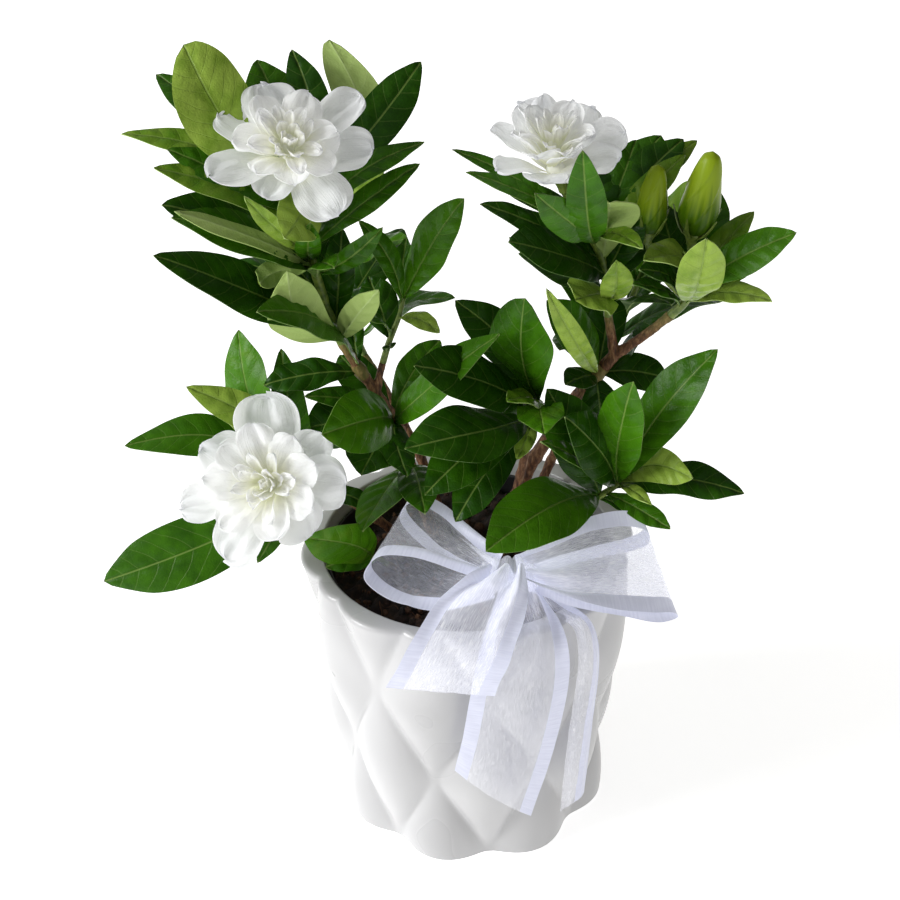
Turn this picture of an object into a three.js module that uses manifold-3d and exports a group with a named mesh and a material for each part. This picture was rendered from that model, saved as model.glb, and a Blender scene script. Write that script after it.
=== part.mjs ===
// A gardenia in a quilted white ceramic pot, tied with a sheer white bow.
// Millimetres, +Z up. The origin is the centre of the pot's underside, and the bow faces -Y.
import * as THREE from 'three';
import { mergeVertices } from 'three/addons/utils/BufferGeometryUtils.js';
import Module from 'manifold-3d';

const wasm = await Module();
wasm.setup();

// Pot: eight quilted diamonds round it, each two rows tall, with creases between them
const POT_HEIGHT = 142;
const POT_CREASE_RADIUS_FOOT = 57.5;
const POT_CREASE_RADIUS_RIM = 72;
const POT_BULGE_FOOT = 7.5;
const POT_BULGE_RIM = 6;
const POT_INNER_RADIUS_RIM = 66;
const POT_INNER_RADIUS_FLOOR = 50.5;
const POT_FLOOR = 6;
const RIM_ROUND = 2.5;
const DIAMONDS_ROUND = 8;
const CREASE_ANGLE = 231.5;
const CREASE_ROWS = [2, 50, 98, 162];
const COLUMNS_PER_DIAMOND = 8;

// Grow pot and soil
const GROW_POT_TOP = 136;
const GROW_POT_RADIUS_TOP = 64.5;
const GROW_POT_RADIUS_FLOOR = 49;
const GROW_POT_WALL = 1.4;
const SOIL_TOP = 127;
const SOIL_LUMPS = 1.6;
const SOIL_SLACK = 0.3;

// Blades, and the gap that neighbours keep. A blade's edges are sharp, so a grown blade is widened
// by more than the gap.
const GAP = 0.35;
const EDGE_GROWTH = 2.5;
const SLIVER = 0.02;
const LEAF_THICKNESS = 1;
const PETAL_THICKNESS = 1;
const RIBBON_THICKNESS = 0.9;
const HIDDEN_LEAF_SEED = 7;

// Leaves turn their faces up and to the front, where the light comes from. Those that point that
// way themselves face the front.
const LIGHT = [0, -0.5, 0.87];
const FRONT = [0, -1, 0.1];

// A bloom's green neck, and how far each ring of petals is turned on from the last, in degrees
const NECK_LENGTH = 14;
const NECK_RADIUS_ROOT = 2.4;
const NECK_RADIUS_TOP = 4.2;
const RING_TURN = 11;

// A bud's soft flutes, as a share of its radius
const BUD_SIDES = 10;
const BUD_FLUTES = 5;
const FLUTE_DEPTH = 0.07;

const vec = ([x, y, z]) => new THREE.Vector3(x, y, z);
const degrees = THREE.MathUtils.degToRad;
const mix = THREE.MathUtils.lerp;

// Solids

function geometryFrom(positions, indices) {
  const geometry = new THREE.BufferGeometry();
  geometry.setAttribute('position', new THREE.Float32BufferAttribute(positions, 3));
  geometry.setIndex(indices);
  return geometry;
}

function signedVolume(positions, triangles) {
  const corners = [0, 1, 2].map(() => new THREE.Vector3());
  let volume = 0;
  for (let i = 0; i < triangles.length; i += 3) {
    corners.forEach((corner, k) => corner.fromArray(positions, 3 * triangles[i + k]));
    volume += corners[0].dot(corners[1].clone().cross(corners[2])) / 6;
  }
  return volume;
}

function solidFrom(geometry) {
  const bare = geometry.clone();
  bare.deleteAttribute('normal');
  bare.deleteAttribute('uv');
  const merged = mergeVertices(bare, 1e-3);
  const positions = merged.attributes.position.array;
  const all = Array.from(merged.index.array);
  const kept = [];
  for (let i = 0; i < all.length; i += 3) {
    const [a, b, c] = all.slice(i, i + 3);
    if (a !== b && b !== c && c !== a) kept.push(a, b, c);
  }
  if (signedVolume(positions, kept) < 0) kept.reverse();
  return new wasm.Manifold(new wasm.Mesh({
    numProp: 3,
    vertProperties: Float32Array.from(positions),
    triVerts: Uint32Array.from(kept),
  }));
}

function geometryOf(solid) {
  const mesh = solid.getMesh();
  return geometryFrom(Array.from(mesh.vertProperties), Array.from(mesh.triVerts));
}

function join(solids) {
  return solids.reduce((whole, solid) => whole.add(solid));
}

// The largest body of a solid, without the slivers that its cuts leave
function largestBody(solid) {
  const bodies = solid.simplify(SLIVER).decompose();
  return bodies.reduce((best, body) => (body.volume() > best.volume() ? body : best));
}

// A closed skin over rings of points: every ring has the same count, and both ends are capped
function skin(rings) {
  const count = rings[0].length;
  const positions = rings.flat().flatMap((p) => [p.x, p.y, p.z]);
  const indices = [];
  for (let i = 0; i + 1 < rings.length; i += 1) {
    for (let j = 0; j < count; j += 1) {
      const next = (j + 1) % count;
      const [a, b, c, d] = [i * count + j, i * count + next, (i + 1) * count + j, (i + 1) * count + next];
      indices.push(a, b, d, a, d, c);
    }
  }
  [0, rings.length - 1].forEach((i) => {
    const middle = rings[i].reduce((sum, p) => sum.add(p), new THREE.Vector3()).divideScalar(count);
    const centre = positions.length / 3;
    positions.push(middle.x, middle.y, middle.z);
    for (let j = 0; j < count; j += 1) {
      const [a, b] = [i * count + j, i * count + ((j + 1) % count)];
      indices.push(...(i === 0 ? [centre, b, a] : [centre, a, b]));
    }
  });
  return solidFrom(geometryFrom(positions, indices));
}

function curveThrough(points) {
  return new THREE.CatmullRomCurve3(points.map(vec), false, 'centripetal');
}

// A round stem along a route, from one radius to the other
function stem({ route, from, to, sides = 6, steps }, grow = 0) {
  const curve = curveThrough(route);
  const count = steps ?? 2 * (route.length - 1);
  const frames = curve.computeFrenetFrames(count, false);
  const rings = [];
  for (let i = 0; i <= count; i += 1) {
    const centre = curve.getPointAt(i / count);
    if (i === 0) centre.addScaledVector(frames.tangents[i], -grow);
    if (i === count) centre.addScaledVector(frames.tangents[i], grow);
    const radius = mix(from, to, i / count) + grow;
    rings.push(Array.from({ length: sides }, (_, j) => {
      const turn = (2 * Math.PI * j) / sides;
      return centre.clone()
        .addScaledVector(frames.normals[i], radius * Math.cos(turn))
        .addScaledVector(frames.binormals[i], radius * Math.sin(turn));
    }));
  }
  return skin(rings);
}

// A thin blade over a grid: at(u, v) gives a point and its face normal, u from root to tip and
// v from edge to edge. Both ends close in a point, and both faces share the edges.
function blade({ at, stations, cells, thickness }, grow = 0) {
  const positions = [];
  const add = (p) => positions.push(p.x, p.y, p.z) / 3 - 1;
  const half = thickness / 2 + grow;
  const face = (side) => stations.map((u) => Array.from({ length: cells + 1 }, (_, j) => {
    const v = (2 * j) / cells - 1;
    const { point, normal } = at(u, v);
    return add(point.addScaledVector(normal, side * half * (1 - v * v)));
  }));
  const upper = face(1);
  const lower = face(-1).map((row, i) => row.map((k, j) => (j === 0 || j === cells ? upper[i][j] : k)));
  const root = add(at(0, 0).point);
  const tip = add(at(1, 0).point);
  const indices = [];
  [upper, lower].forEach((rows, flip) => {
    const put = (a, b, c) => indices.push(...(flip ? [a, c, b] : [a, b, c]));
    for (let j = 0; j < cells; j += 1) {
      put(root, rows[0][j + 1], rows[0][j]);
      for (let i = 0; i + 1 < rows.length; i += 1) {
        put(rows[i][j], rows[i][j + 1], rows[i + 1][j + 1]);
        put(rows[i][j], rows[i + 1][j + 1], rows[i + 1][j]);
      }
      put(tip, rows.at(-1)[j], rows.at(-1)[j + 1]);
    }
  });
  return solidFrom(geometryFrom(positions, indices));
}

// Leaves

// Half width along a leaf, 0 at both ends and 1 at its widest
const leafOutline = (u) => (u ** 1.2 * (1 - u) ** 0.95) / 0.2286;
const LEAF_STATIONS = [0.1, 0.32, 0.57, 0.82];
const SMALL_LEAF_STATIONS = [0.25, 0.62];
const SMALL_LEAF_WIDTH = 12;

// tip is where the leaf ends; roll turns its face about its own length; arch lifts its middle,
// fold raises its two halves, both as shares of its length and width
function leaf(root, { tip, width, roll = 0, arch = 0.1, fold = 0.16, light = LIGHT }, grow = 0) {
  const start = root.clone();
  const reach = vec(tip).sub(start);
  const length = reach.length();
  const axis = reach.clone().divideScalar(length);
  const facing = vec(light).addScaledVector(axis, -vec(light).dot(axis)).normalize();
  facing.applyAxisAngle(axis, degrees(roll));
  const at = (u, v) => {
    const rise = 4 * arch * length;
    const point = start.clone().addScaledVector(reach, u).addScaledVector(facing, rise * u * (1 - u));
    const tangent = reach.clone().addScaledVector(facing, rise * (1 - 2 * u)).normalize();
    const normal = facing.clone().addScaledVector(tangent, -facing.dot(tangent)).normalize();
    const side = tangent.clone().cross(normal);
    const reachOut = (width / 2) * leafOutline(Math.min(Math.max(u, 0), 1)) + EDGE_GROWTH * grow;
    point.addScaledVector(side, v * reachOut).addScaledVector(normal, fold * Math.abs(v) * reachOut);
    return { point, normal };
  };
  const stations = width > SMALL_LEAF_WIDTH ? LEAF_STATIONS : SMALL_LEAF_STATIONS;
  return blade({ at, stations, cells: 2, thickness: LEAF_THICKNESS }, grow);
}

// A shoot is a stem with its leaves: each leaf leaves the stem at a share of its length
function leafyParts({ route, from, to, leaves }) {
  const curve = curveThrough(route);
  const parts = [(grow) => stem({ route, from, to, sides: 5, steps: route.length }, grow)];
  leaves.forEach((row) => {
    const root = curve.getPointAt(row.at);
    parts.push((grow) => leaf(root, row, grow));
  });
  return parts;
}

// Pot, grow pot and soil

// How far the quilting stands out, 0 on the creases and 1 in the middle of a diamond
function quilting(angle, z) {
  const across = (angle - degrees(CREASE_ANGLE)) / ((2 * Math.PI) / DIAMONDS_ROUND);
  let row = 0;
  while (row < CREASE_ROWS.length - 2 && z > CREASE_ROWS[row + 1]) row += 1;
  const up = row + (z - CREASE_ROWS[row]) / (CREASE_ROWS[row + 1] - CREASE_ROWS[row]);
  const rising = Math.sin(Math.PI * (across + up / 2));
  const falling = Math.sin(Math.PI * (across - up / 2));
  return Math.abs(rising * falling) ** 0.6;
}

function turned(profile, columns, startAngle = 0) {
  const points = profile.map(([radius, z]) => new THREE.Vector2(radius, z));
  return new THREE.LatheGeometry(points, columns).rotateX(Math.PI / 2).rotateZ(degrees(startAngle));
}

function pot(grow = 0) {
  const depth = POT_HEIGHT - POT_FLOOR;
  const innerRadius = (z) => mix(POT_INNER_RADIUS_FLOOR, POT_INNER_RADIUS_RIM, (z - POT_FLOOR) / depth);
  const outerZ = [0, 2, 14, 26, 38, 50, 62, 74, 86, 98, 114, 130, POT_HEIGHT - RIM_ROUND];
  const creaseRadius = (z) => mix(POT_CREASE_RADIUS_FOOT, POT_CREASE_RADIUS_RIM, z / POT_HEIGHT);
  const outer = outerZ.map((z) => [creaseRadius(z) + grow, z === 0 ? -grow : z]);
  const rim = [
    [creaseRadius(POT_HEIGHT) - RIM_ROUND + grow, POT_HEIGHT + grow],
    [POT_INNER_RADIUS_RIM + 1 - grow, POT_HEIGHT + grow],
  ];
  const inner = [POT_HEIGHT - 1, POT_HEIGHT / 2].map((z) => [innerRadius(z) - grow, z]);
  inner.push([innerRadius(POT_FLOOR) - grow, POT_FLOOR + grow]);
  const profile = [[0, -grow], ...outer, ...rim, ...inner, [0, POT_FLOOR + grow]];
  const geometry = turned(profile, COLUMNS_PER_DIAMOND * DIAMONDS_ROUND, CREASE_ANGLE);
  const place = geometry.attributes.position;
  const quilted = outer.length + 1;
  const relief = new Array(place.count).fill(0);
  for (let i = 0; i < place.count; i += 1) {
    const row = i % profile.length;
    if (row >= 1 && row <= quilted) {
      const [x, y, z] = [place.getX(i), place.getY(i), place.getZ(i)];
      const height = Math.min(Math.max(z, 0), POT_HEIGHT);
      relief[i] = quilting(Math.atan2(y, x), height);
      const bulge = mix(POT_BULGE_FOOT, POT_BULGE_RIM, height / POT_HEIGHT) * relief[i];
      const radius = Math.hypot(x, y);
      place.setXY(i, x * (1 + bulge / radius), y * (1 + bulge / radius));
    }
  }
  // Each square of the skin is split along its lower diagonal, so the creases stay sharp
  const indices = [];
  for (let i = 0; i + profile.length < place.count; i += 1) {
    if (i % profile.length < profile.length - 1) {
      const [a, b, c, d] = [i, i + profile.length, i + profile.length + 1, i + 1];
      if (relief[a] + relief[c] < relief[b] + relief[d]) indices.push(a, b, c, a, c, d);
      else indices.push(a, b, d, b, c, d);
    }
  }
  geometry.setIndex(indices);
  return solidFrom(geometry);
}

const GROW_POT_FLOOR = POT_FLOOR + GAP;
const GROW_POT_DEPTH = GROW_POT_TOP - GROW_POT_FLOOR;

function growPotRadius(z) {
  return mix(GROW_POT_RADIUS_FLOOR, GROW_POT_RADIUS_TOP, (z - GROW_POT_FLOOR) / GROW_POT_DEPTH);
}

function growPot(grow = 0) {
  const floorTop = GROW_POT_FLOOR + GROW_POT_WALL;
  const profile = [
    [0, GROW_POT_FLOOR - grow],
    [GROW_POT_RADIUS_FLOOR + grow, GROW_POT_FLOOR - grow],
    [GROW_POT_RADIUS_TOP + grow, GROW_POT_TOP + grow],
    [GROW_POT_RADIUS_TOP - GROW_POT_WALL - grow, GROW_POT_TOP + grow],
    [growPotRadius(floorTop) - GROW_POT_WALL - grow, floorTop + grow],
    [0, floorTop + grow],
  ];
  return solidFrom(turned(profile, 40));
}

function soil(grow = 0) {
  const bottom = GROW_POT_FLOOR + GROW_POT_WALL + GAP;
  const edge = (z) => growPotRadius(z) - GROW_POT_WALL - GAP - SOIL_SLACK + grow;
  const shares = [1, 0.84, 0.6, 0.36, 0.16];
  const top = shares.map((share) => [edge(SOIL_TOP) * share, SOIL_TOP + grow]);
  const profile = [[0, bottom - grow], [edge(bottom), bottom - grow], ...top, [0, SOIL_TOP + grow]];
  const geometry = turned(profile, 28);
  const place = geometry.attributes.position;
  for (let i = 0; i < place.count; i += 1) {
    if (i % profile.length >= 3) {
      const [x, y] = [place.getX(i), place.getY(i)];
      const lumps = Math.sin(0.31 * x + 0.9) * Math.cos(0.27 * y) + 0.6 * Math.sin(0.63 * x - 0.55 * y);
      place.setZ(i, place.getZ(i) + SOIL_LUMPS * lumps);
    }
  }
  return solidFrom(geometry);
}

// Woody stems, from inside the soil up to where the green growth takes over

const LEFT_FORK = [-38, 10, 214];
const RIGHT_FORK = [65, 8, 232];
const BUD_FORK = [88, 3, 254];

const trunkLeft = {
  route: [
    [-12, 26, 96], [-17, 24, 131], [-24, 14, 166], [-29, 12, 194],
    LEFT_FORK, [-46, 8, 230], [-52, 6, 243],
  ],
  from: 3.2, to: 2.2,
};
const sideLeft = { route: [LEFT_FORK, [-37, 11, 222], [-35, 12, 229]], from: 1.8, to: 1.6 };
const trunkRight = {
  route: [[14, 24, 96], [20, 21, 136], [28, 16, 168], [34, 14, 181], [48, 12, 207], RIGHT_FORK],
  from: 3.8, to: 2.8,
};
const upRight = { route: [RIGHT_FORK, [64, 8, 241], [62, 8, 252]], from: 2.1, to: 1.9 };
const budRight = { route: [RIGHT_FORK, [77, 5, 243], BUD_FORK], from: 2.2, to: 2 };
const trunkCentre = {
  route: [[12, 4, 96], [16, 2, 136], [25, -2, 182], [28, -3, 202]],
  from: 2.3, to: 1.9,
};
const stemLowLeft = {
  route: [[-26, 18, 96], [-32, 15, 132], [-43, 8, 150], [-53, 2, 163], [-62, -2, 170]],
  from: 2.6, to: 2,
};
const stemLowRight = {
  route: [[28, 10, 96], [34, 6, 132], [44, -2, 154], [55, -8, 167]],
  from: 2.2, to: 1.8,
};
const stemFrontLeft = {
  route: [[-30, 0, 104], [-32, -2, 126], [-37, -7, 134]],
  from: 1.6, to: 1.4, steps: 3,
};
const stemBackLeft = {
  route: [[-8, 36, 100], [-18, 46, 146], [-36, 54, 188], [-46, 56, 208]],
  from: 2.6, to: 1.9,
};
const stemBackRight = {
  route: [[22, 34, 100], [38, 44, 148], [58, 52, 190], [66, 54, 206]],
  from: 2.6, to: 1.9,
};

const woodyStems = {
  stem_left: [trunkLeft, sideLeft],
  stem_right: [trunkRight, upRight, budRight],
  stem_centre: [trunkCentre],
  stem_low_left: [stemLowLeft],
  stem_low_right: [stemLowRight],
  stem_front_left: [stemFrontLeft],
  stem_back_left: [stemBackLeft],
  stem_back_right: [stemBackRight],
};

// The green growth starts a gap past the tip of the wood, and ends a gap short of its flower
function past({ route }) {
  const curve = curveThrough(route);
  return curve.getPointAt(1).addScaledVector(curve.getTangentAt(1), GAP).toArray();
}

function seat({ base, facing }) {
  return vec(base).addScaledVector(vec(facing).normalize(), -GAP).toArray();
}

// Blooms: rings of petals round an axis, the outer ones bent well back, the heart still closed

// Half width along a petal, 0 at both ends and 1 at its widest, which is near its blunt tip
const petalOutline = (u) => (u ** 1.1 * (1 - u) ** 0.35) / 0.449;
const PETAL_STATIONS = [0.3, 0.66, 0.92];

// start and end are the petal's lean from the bloom's axis, in degrees, at its root and its tip
function petal({ root, axis, outward, length, width, start, end, cup, twist }, grow = 0) {
  const swing = degrees(end - start);
  const from = degrees(start);
  const at = (u, v) => {
    const lean = from + swing * u;
    const out = (length * (Math.cos(from) - Math.cos(lean))) / swing;
    const up = (length * (Math.sin(lean) - Math.sin(from))) / swing;
    const point = root.clone().addScaledVector(outward, out).addScaledVector(axis, up);
    const tangent = outward.clone().multiplyScalar(Math.sin(lean)).addScaledVector(axis, Math.cos(lean));
    const normal = outward.clone().multiplyScalar(-Math.cos(lean)).addScaledVector(axis, Math.sin(lean));
    normal.applyAxisAngle(tangent, degrees(twist));
    const side = tangent.clone().cross(normal);
    const reachOut = (width / 2) * petalOutline(Math.min(Math.max(u, 0), 1)) + EDGE_GROWTH * grow;
    point.addScaledVector(side, v * reachOut).addScaledVector(normal, cup * v * v * reachOut);
    return { point, normal };
  };
  return blade({ at, stations: PETAL_STATIONS, cells: 3, thickness: PETAL_THICKNESS }, grow);
}

function bloomParts({ base, facing, rings, turn = 0 }) {
  const axis = vec(facing).normalize();
  const across = new THREE.Vector3(1, 0, 0).addScaledVector(axis, -axis.x).normalize();
  const root = vec(base);
  const neck = {
    route: [root.toArray(), root.clone().addScaledVector(axis, NECK_LENGTH).toArray()],
    from: NECK_RADIUS_ROOT, to: NECK_RADIUS_TOP, sides: 8, steps: 2,
  };
  const parts = [(grow) => stem(neck, grow)];
  rings.forEach(({ count, from, ...shape }, ring) => {
    for (let k = 0; k < count; k += 1) {
      const about = (360 * (k + ring / 2)) / count + turn + RING_TURN * ring;
      const outward = across.clone().applyAxisAngle(axis, degrees(about));
      const sprout = root.clone().addScaledVector(axis, from).addScaledVector(outward, NECK_RADIUS_ROOT);
      parts.push((grow) => petal({ root: sprout, axis, outward, ...shape }, grow));
    }
  });
  return parts;
}

const blooms = {
  bloom_upper_left: {
    base: [-62, -10, 324], facing: [0.12, -0.62, 0.78], turn: 18,
    rings: [
      { count: 6, from: 3, length: 38, width: 28, start: 50, end: 92, cup: 0.14, twist: 12 },
      { count: 6, from: 7, length: 30, width: 19, start: 34, end: 74, cup: 0.24, twist: 14 },
      { count: 5, from: 11, length: 19, width: 12, start: 12, end: 62, cup: 0.4, twist: 20 },
      { count: 3, from: 13, length: 12, width: 8, start: 4, end: 22, cup: 0.5, twist: 20 },
    ],
  },
  bloom_upper_right: {
    base: [42, -4, 316], facing: [0.1, -0.38, 0.92], turn: 40,
    rings: [
      { count: 6, from: 3, length: 33, width: 24, start: 40, end: 78, cup: 0.18, twist: 12 },
      { count: 5, from: 6.5, length: 26, width: 17, start: 22, end: 54, cup: 0.3, twist: 14 },
      { count: 4, from: 10, length: 18, width: 10, start: 6, end: 36, cup: 0.45, twist: 20 },
      { count: 3, from: 13, length: 12, width: 8, start: 0, end: 14, cup: 0.5, twist: 20 },
    ],
  },
  bloom_low_left: {
    base: [-77, -20, 192], facing: [-0.18, -0.72, 0.67], turn: 5,
    rings: [
      { count: 6, from: 3, length: 41, width: 31, start: 52, end: 92, cup: 0.14, twist: 12 },
      { count: 6, from: 7, length: 32, width: 21, start: 36, end: 76, cup: 0.24, twist: 14 },
      { count: 5, from: 11, length: 20, width: 13, start: 12, end: 62, cup: 0.4, twist: 20 },
      { count: 3, from: 13, length: 12, width: 8, start: 4, end: 22, cup: 0.5, twist: 20 },
    ],
  },
};

// Buds: furled petals, so five soft flutes wind up a pointed body
function bud({ base, facing, width }, grow = 0) {
  const root = vec(base);
  const axis = vec(facing);
  const frameX = new THREE.Vector3(1, 0, 0).addScaledVector(axis, -axis.x / axis.lengthSq()).normalize();
  const frameY = axis.clone().normalize().cross(frameX);
  const steps = 6;
  const rings = Array.from({ length: steps + 1 }, (_, i) => {
    const u = i / steps;
    const swell = mix(0.03, 0.985, u);
    const radius = (width / 2) * Math.sin(Math.PI * swell ** 0.8) ** 0.62 + grow;
    return Array.from({ length: BUD_SIDES }, (__, j) => {
      const turn = (2 * Math.PI * j) / BUD_SIDES;
      const flute = 1 + FLUTE_DEPTH * Math.cos(BUD_FLUTES * (turn - u));
      return root.clone().addScaledVector(axis, u)
        .addScaledVector(frameX, radius * flute * Math.cos(turn))
        .addScaledVector(frameY, radius * flute * Math.sin(turn));
    });
  });
  return skin(rings);
}

// facing runs from a bud's base to its tip
const buds = {
  bud_large: { base: [95, 1, 292], facing: [6, -2, 35], width: 16.5 },
  bud_small: { base: [77, 5, 291], facing: [3, -2, 29], width: 13 },
};

// Bow: one sheer ribbon, 50 mm wide, tied at the front of the soil. Each run lies between two edges,
// and crown is how far its middle stands out from them, over the pot's bulge.

function ribbonRun({ near, far, crown = 0, steps = 14 }, grow = 0) {
  const [edgeA, edgeB] = [curveThrough(near), curveThrough(far)];
  const middles = [0.02, 0.34, 0.66, 0.98];
  const rings = [];
  for (let i = 0; i <= steps; i += 1) {
    const u = i / steps;
    const [a, b] = [edgeA.getPoint(u), edgeB.getPoint(u)];
    const across = b.clone().sub(a);
    const along = edgeA.getTangent(u).add(edgeB.getTangent(u));
    const normal = across.clone().cross(along).normalize();
    const half = RIBBON_THICKNESS / 2 + grow;
    const swell = (share) => crown * Math.sin(Math.PI * share) * Math.min(1, 3 * u);
    const line = (side) => middles.map((share) => (
      a.clone().addScaledVector(across, share).addScaledVector(normal, side * half - swell(share))
    ));
    rings.push([...line(1), ...line(-1).reverse()]);
  }
  return skin(rings);
}

const KNOT = {
  route: [[7, -54, 161], [17, -54, 162], [27, -53, 161]],
  from: 6.5, to: 6.5, sides: 10, steps: 2,
};

const ribbonRuns = {
  bow_loop_left: {
    near: [
      [10, -58, 162], [-6, -57, 168], [-24, -53, 172], [-39, -51, 170],
      [-44, -55, 163], [-34, -61, 156], [-14, -64, 153], [10, -60, 157],
    ],
    far: [
      [14, -44, 163], [1, -31, 169], [-11, -18, 174], [-22, -9, 174],
      [-27, -9, 166], [-17, -17, 156], [-2, -32, 153], [14, -47, 157],
    ],
  },
  bow_loop_right: {
    near: [
      [22, -60, 163], [45, -68, 158], [59, -66, 152], [78, -58, 143], [89, -50, 136],
      [91, -48, 132], [84, -50, 131], [64, -58, 142], [44, -61, 150], [24, -57, 158],
    ],
    far: [
      [20, -48, 166], [33, -44, 173], [53, -34, 177], [70, -29, 176], [76, -30, 173],
      [76, -32, 168], [70, -33, 165], [56, -35, 162], [40, -40, 160], [22, -48, 158],
    ],
  },
  bow_tail_left: {
    near: [
      [10, -56, 158], [-4, -61, 149.5], [-18, -66, 143.3], [-25, -74, 142.3],
      [-30.5, -79, 137.5], [-33, -78.5, 130], [-36, -76.5, 119],
    ],
    far: [
      [22, -56, 157], [16, -61, 149], [10, -67.5, 143.3], [8, -77, 142.2],
      [5, -84, 137], [1, -84, 130], [-3, -81.5, 120],
    ],
    steps: 10,
  },
  bow_tail_front: {
    near: [
      [12, -58, 161], [10, -65, 154], [6, -73, 146.5], [2, -85, 140],
      [-1, -85, 120], [-5, -79, 92], [-9, -75, 70],
    ],
    far: [
      [26, -55, 159], [30, -60, 152.5], [33, -66, 146], [37, -75, 140.5],
      [41, -75, 122], [37, -72, 80], [30, -70, 34],
    ],
    crown: 4,
    steps: 12,
  },
  bow_tail_right: {
    near: [
      [25, -52, 158], [33, -56, 149], [38, -57.5, 143.2], [45, -66, 142],
      [47, -70, 130], [43, -68, 80], [40, -66, 34],
    ],
    far: [
      [25, -49, 158], [37, -52, 149], [44, -53, 143.2], [52, -60, 142],
      [56, -64, 130], [54, -61, 80], [51, -60, 40],
    ],
    steps: 10,
  },
};

// Leafy shoots. Each route starts just off a woody tip, and each leaf leaves it at a share of its
// length. A whorl on a woody stem is a short sleeve round that stem instead.

const BUD_FORK_GREEN = [94, 2, 262];

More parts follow.
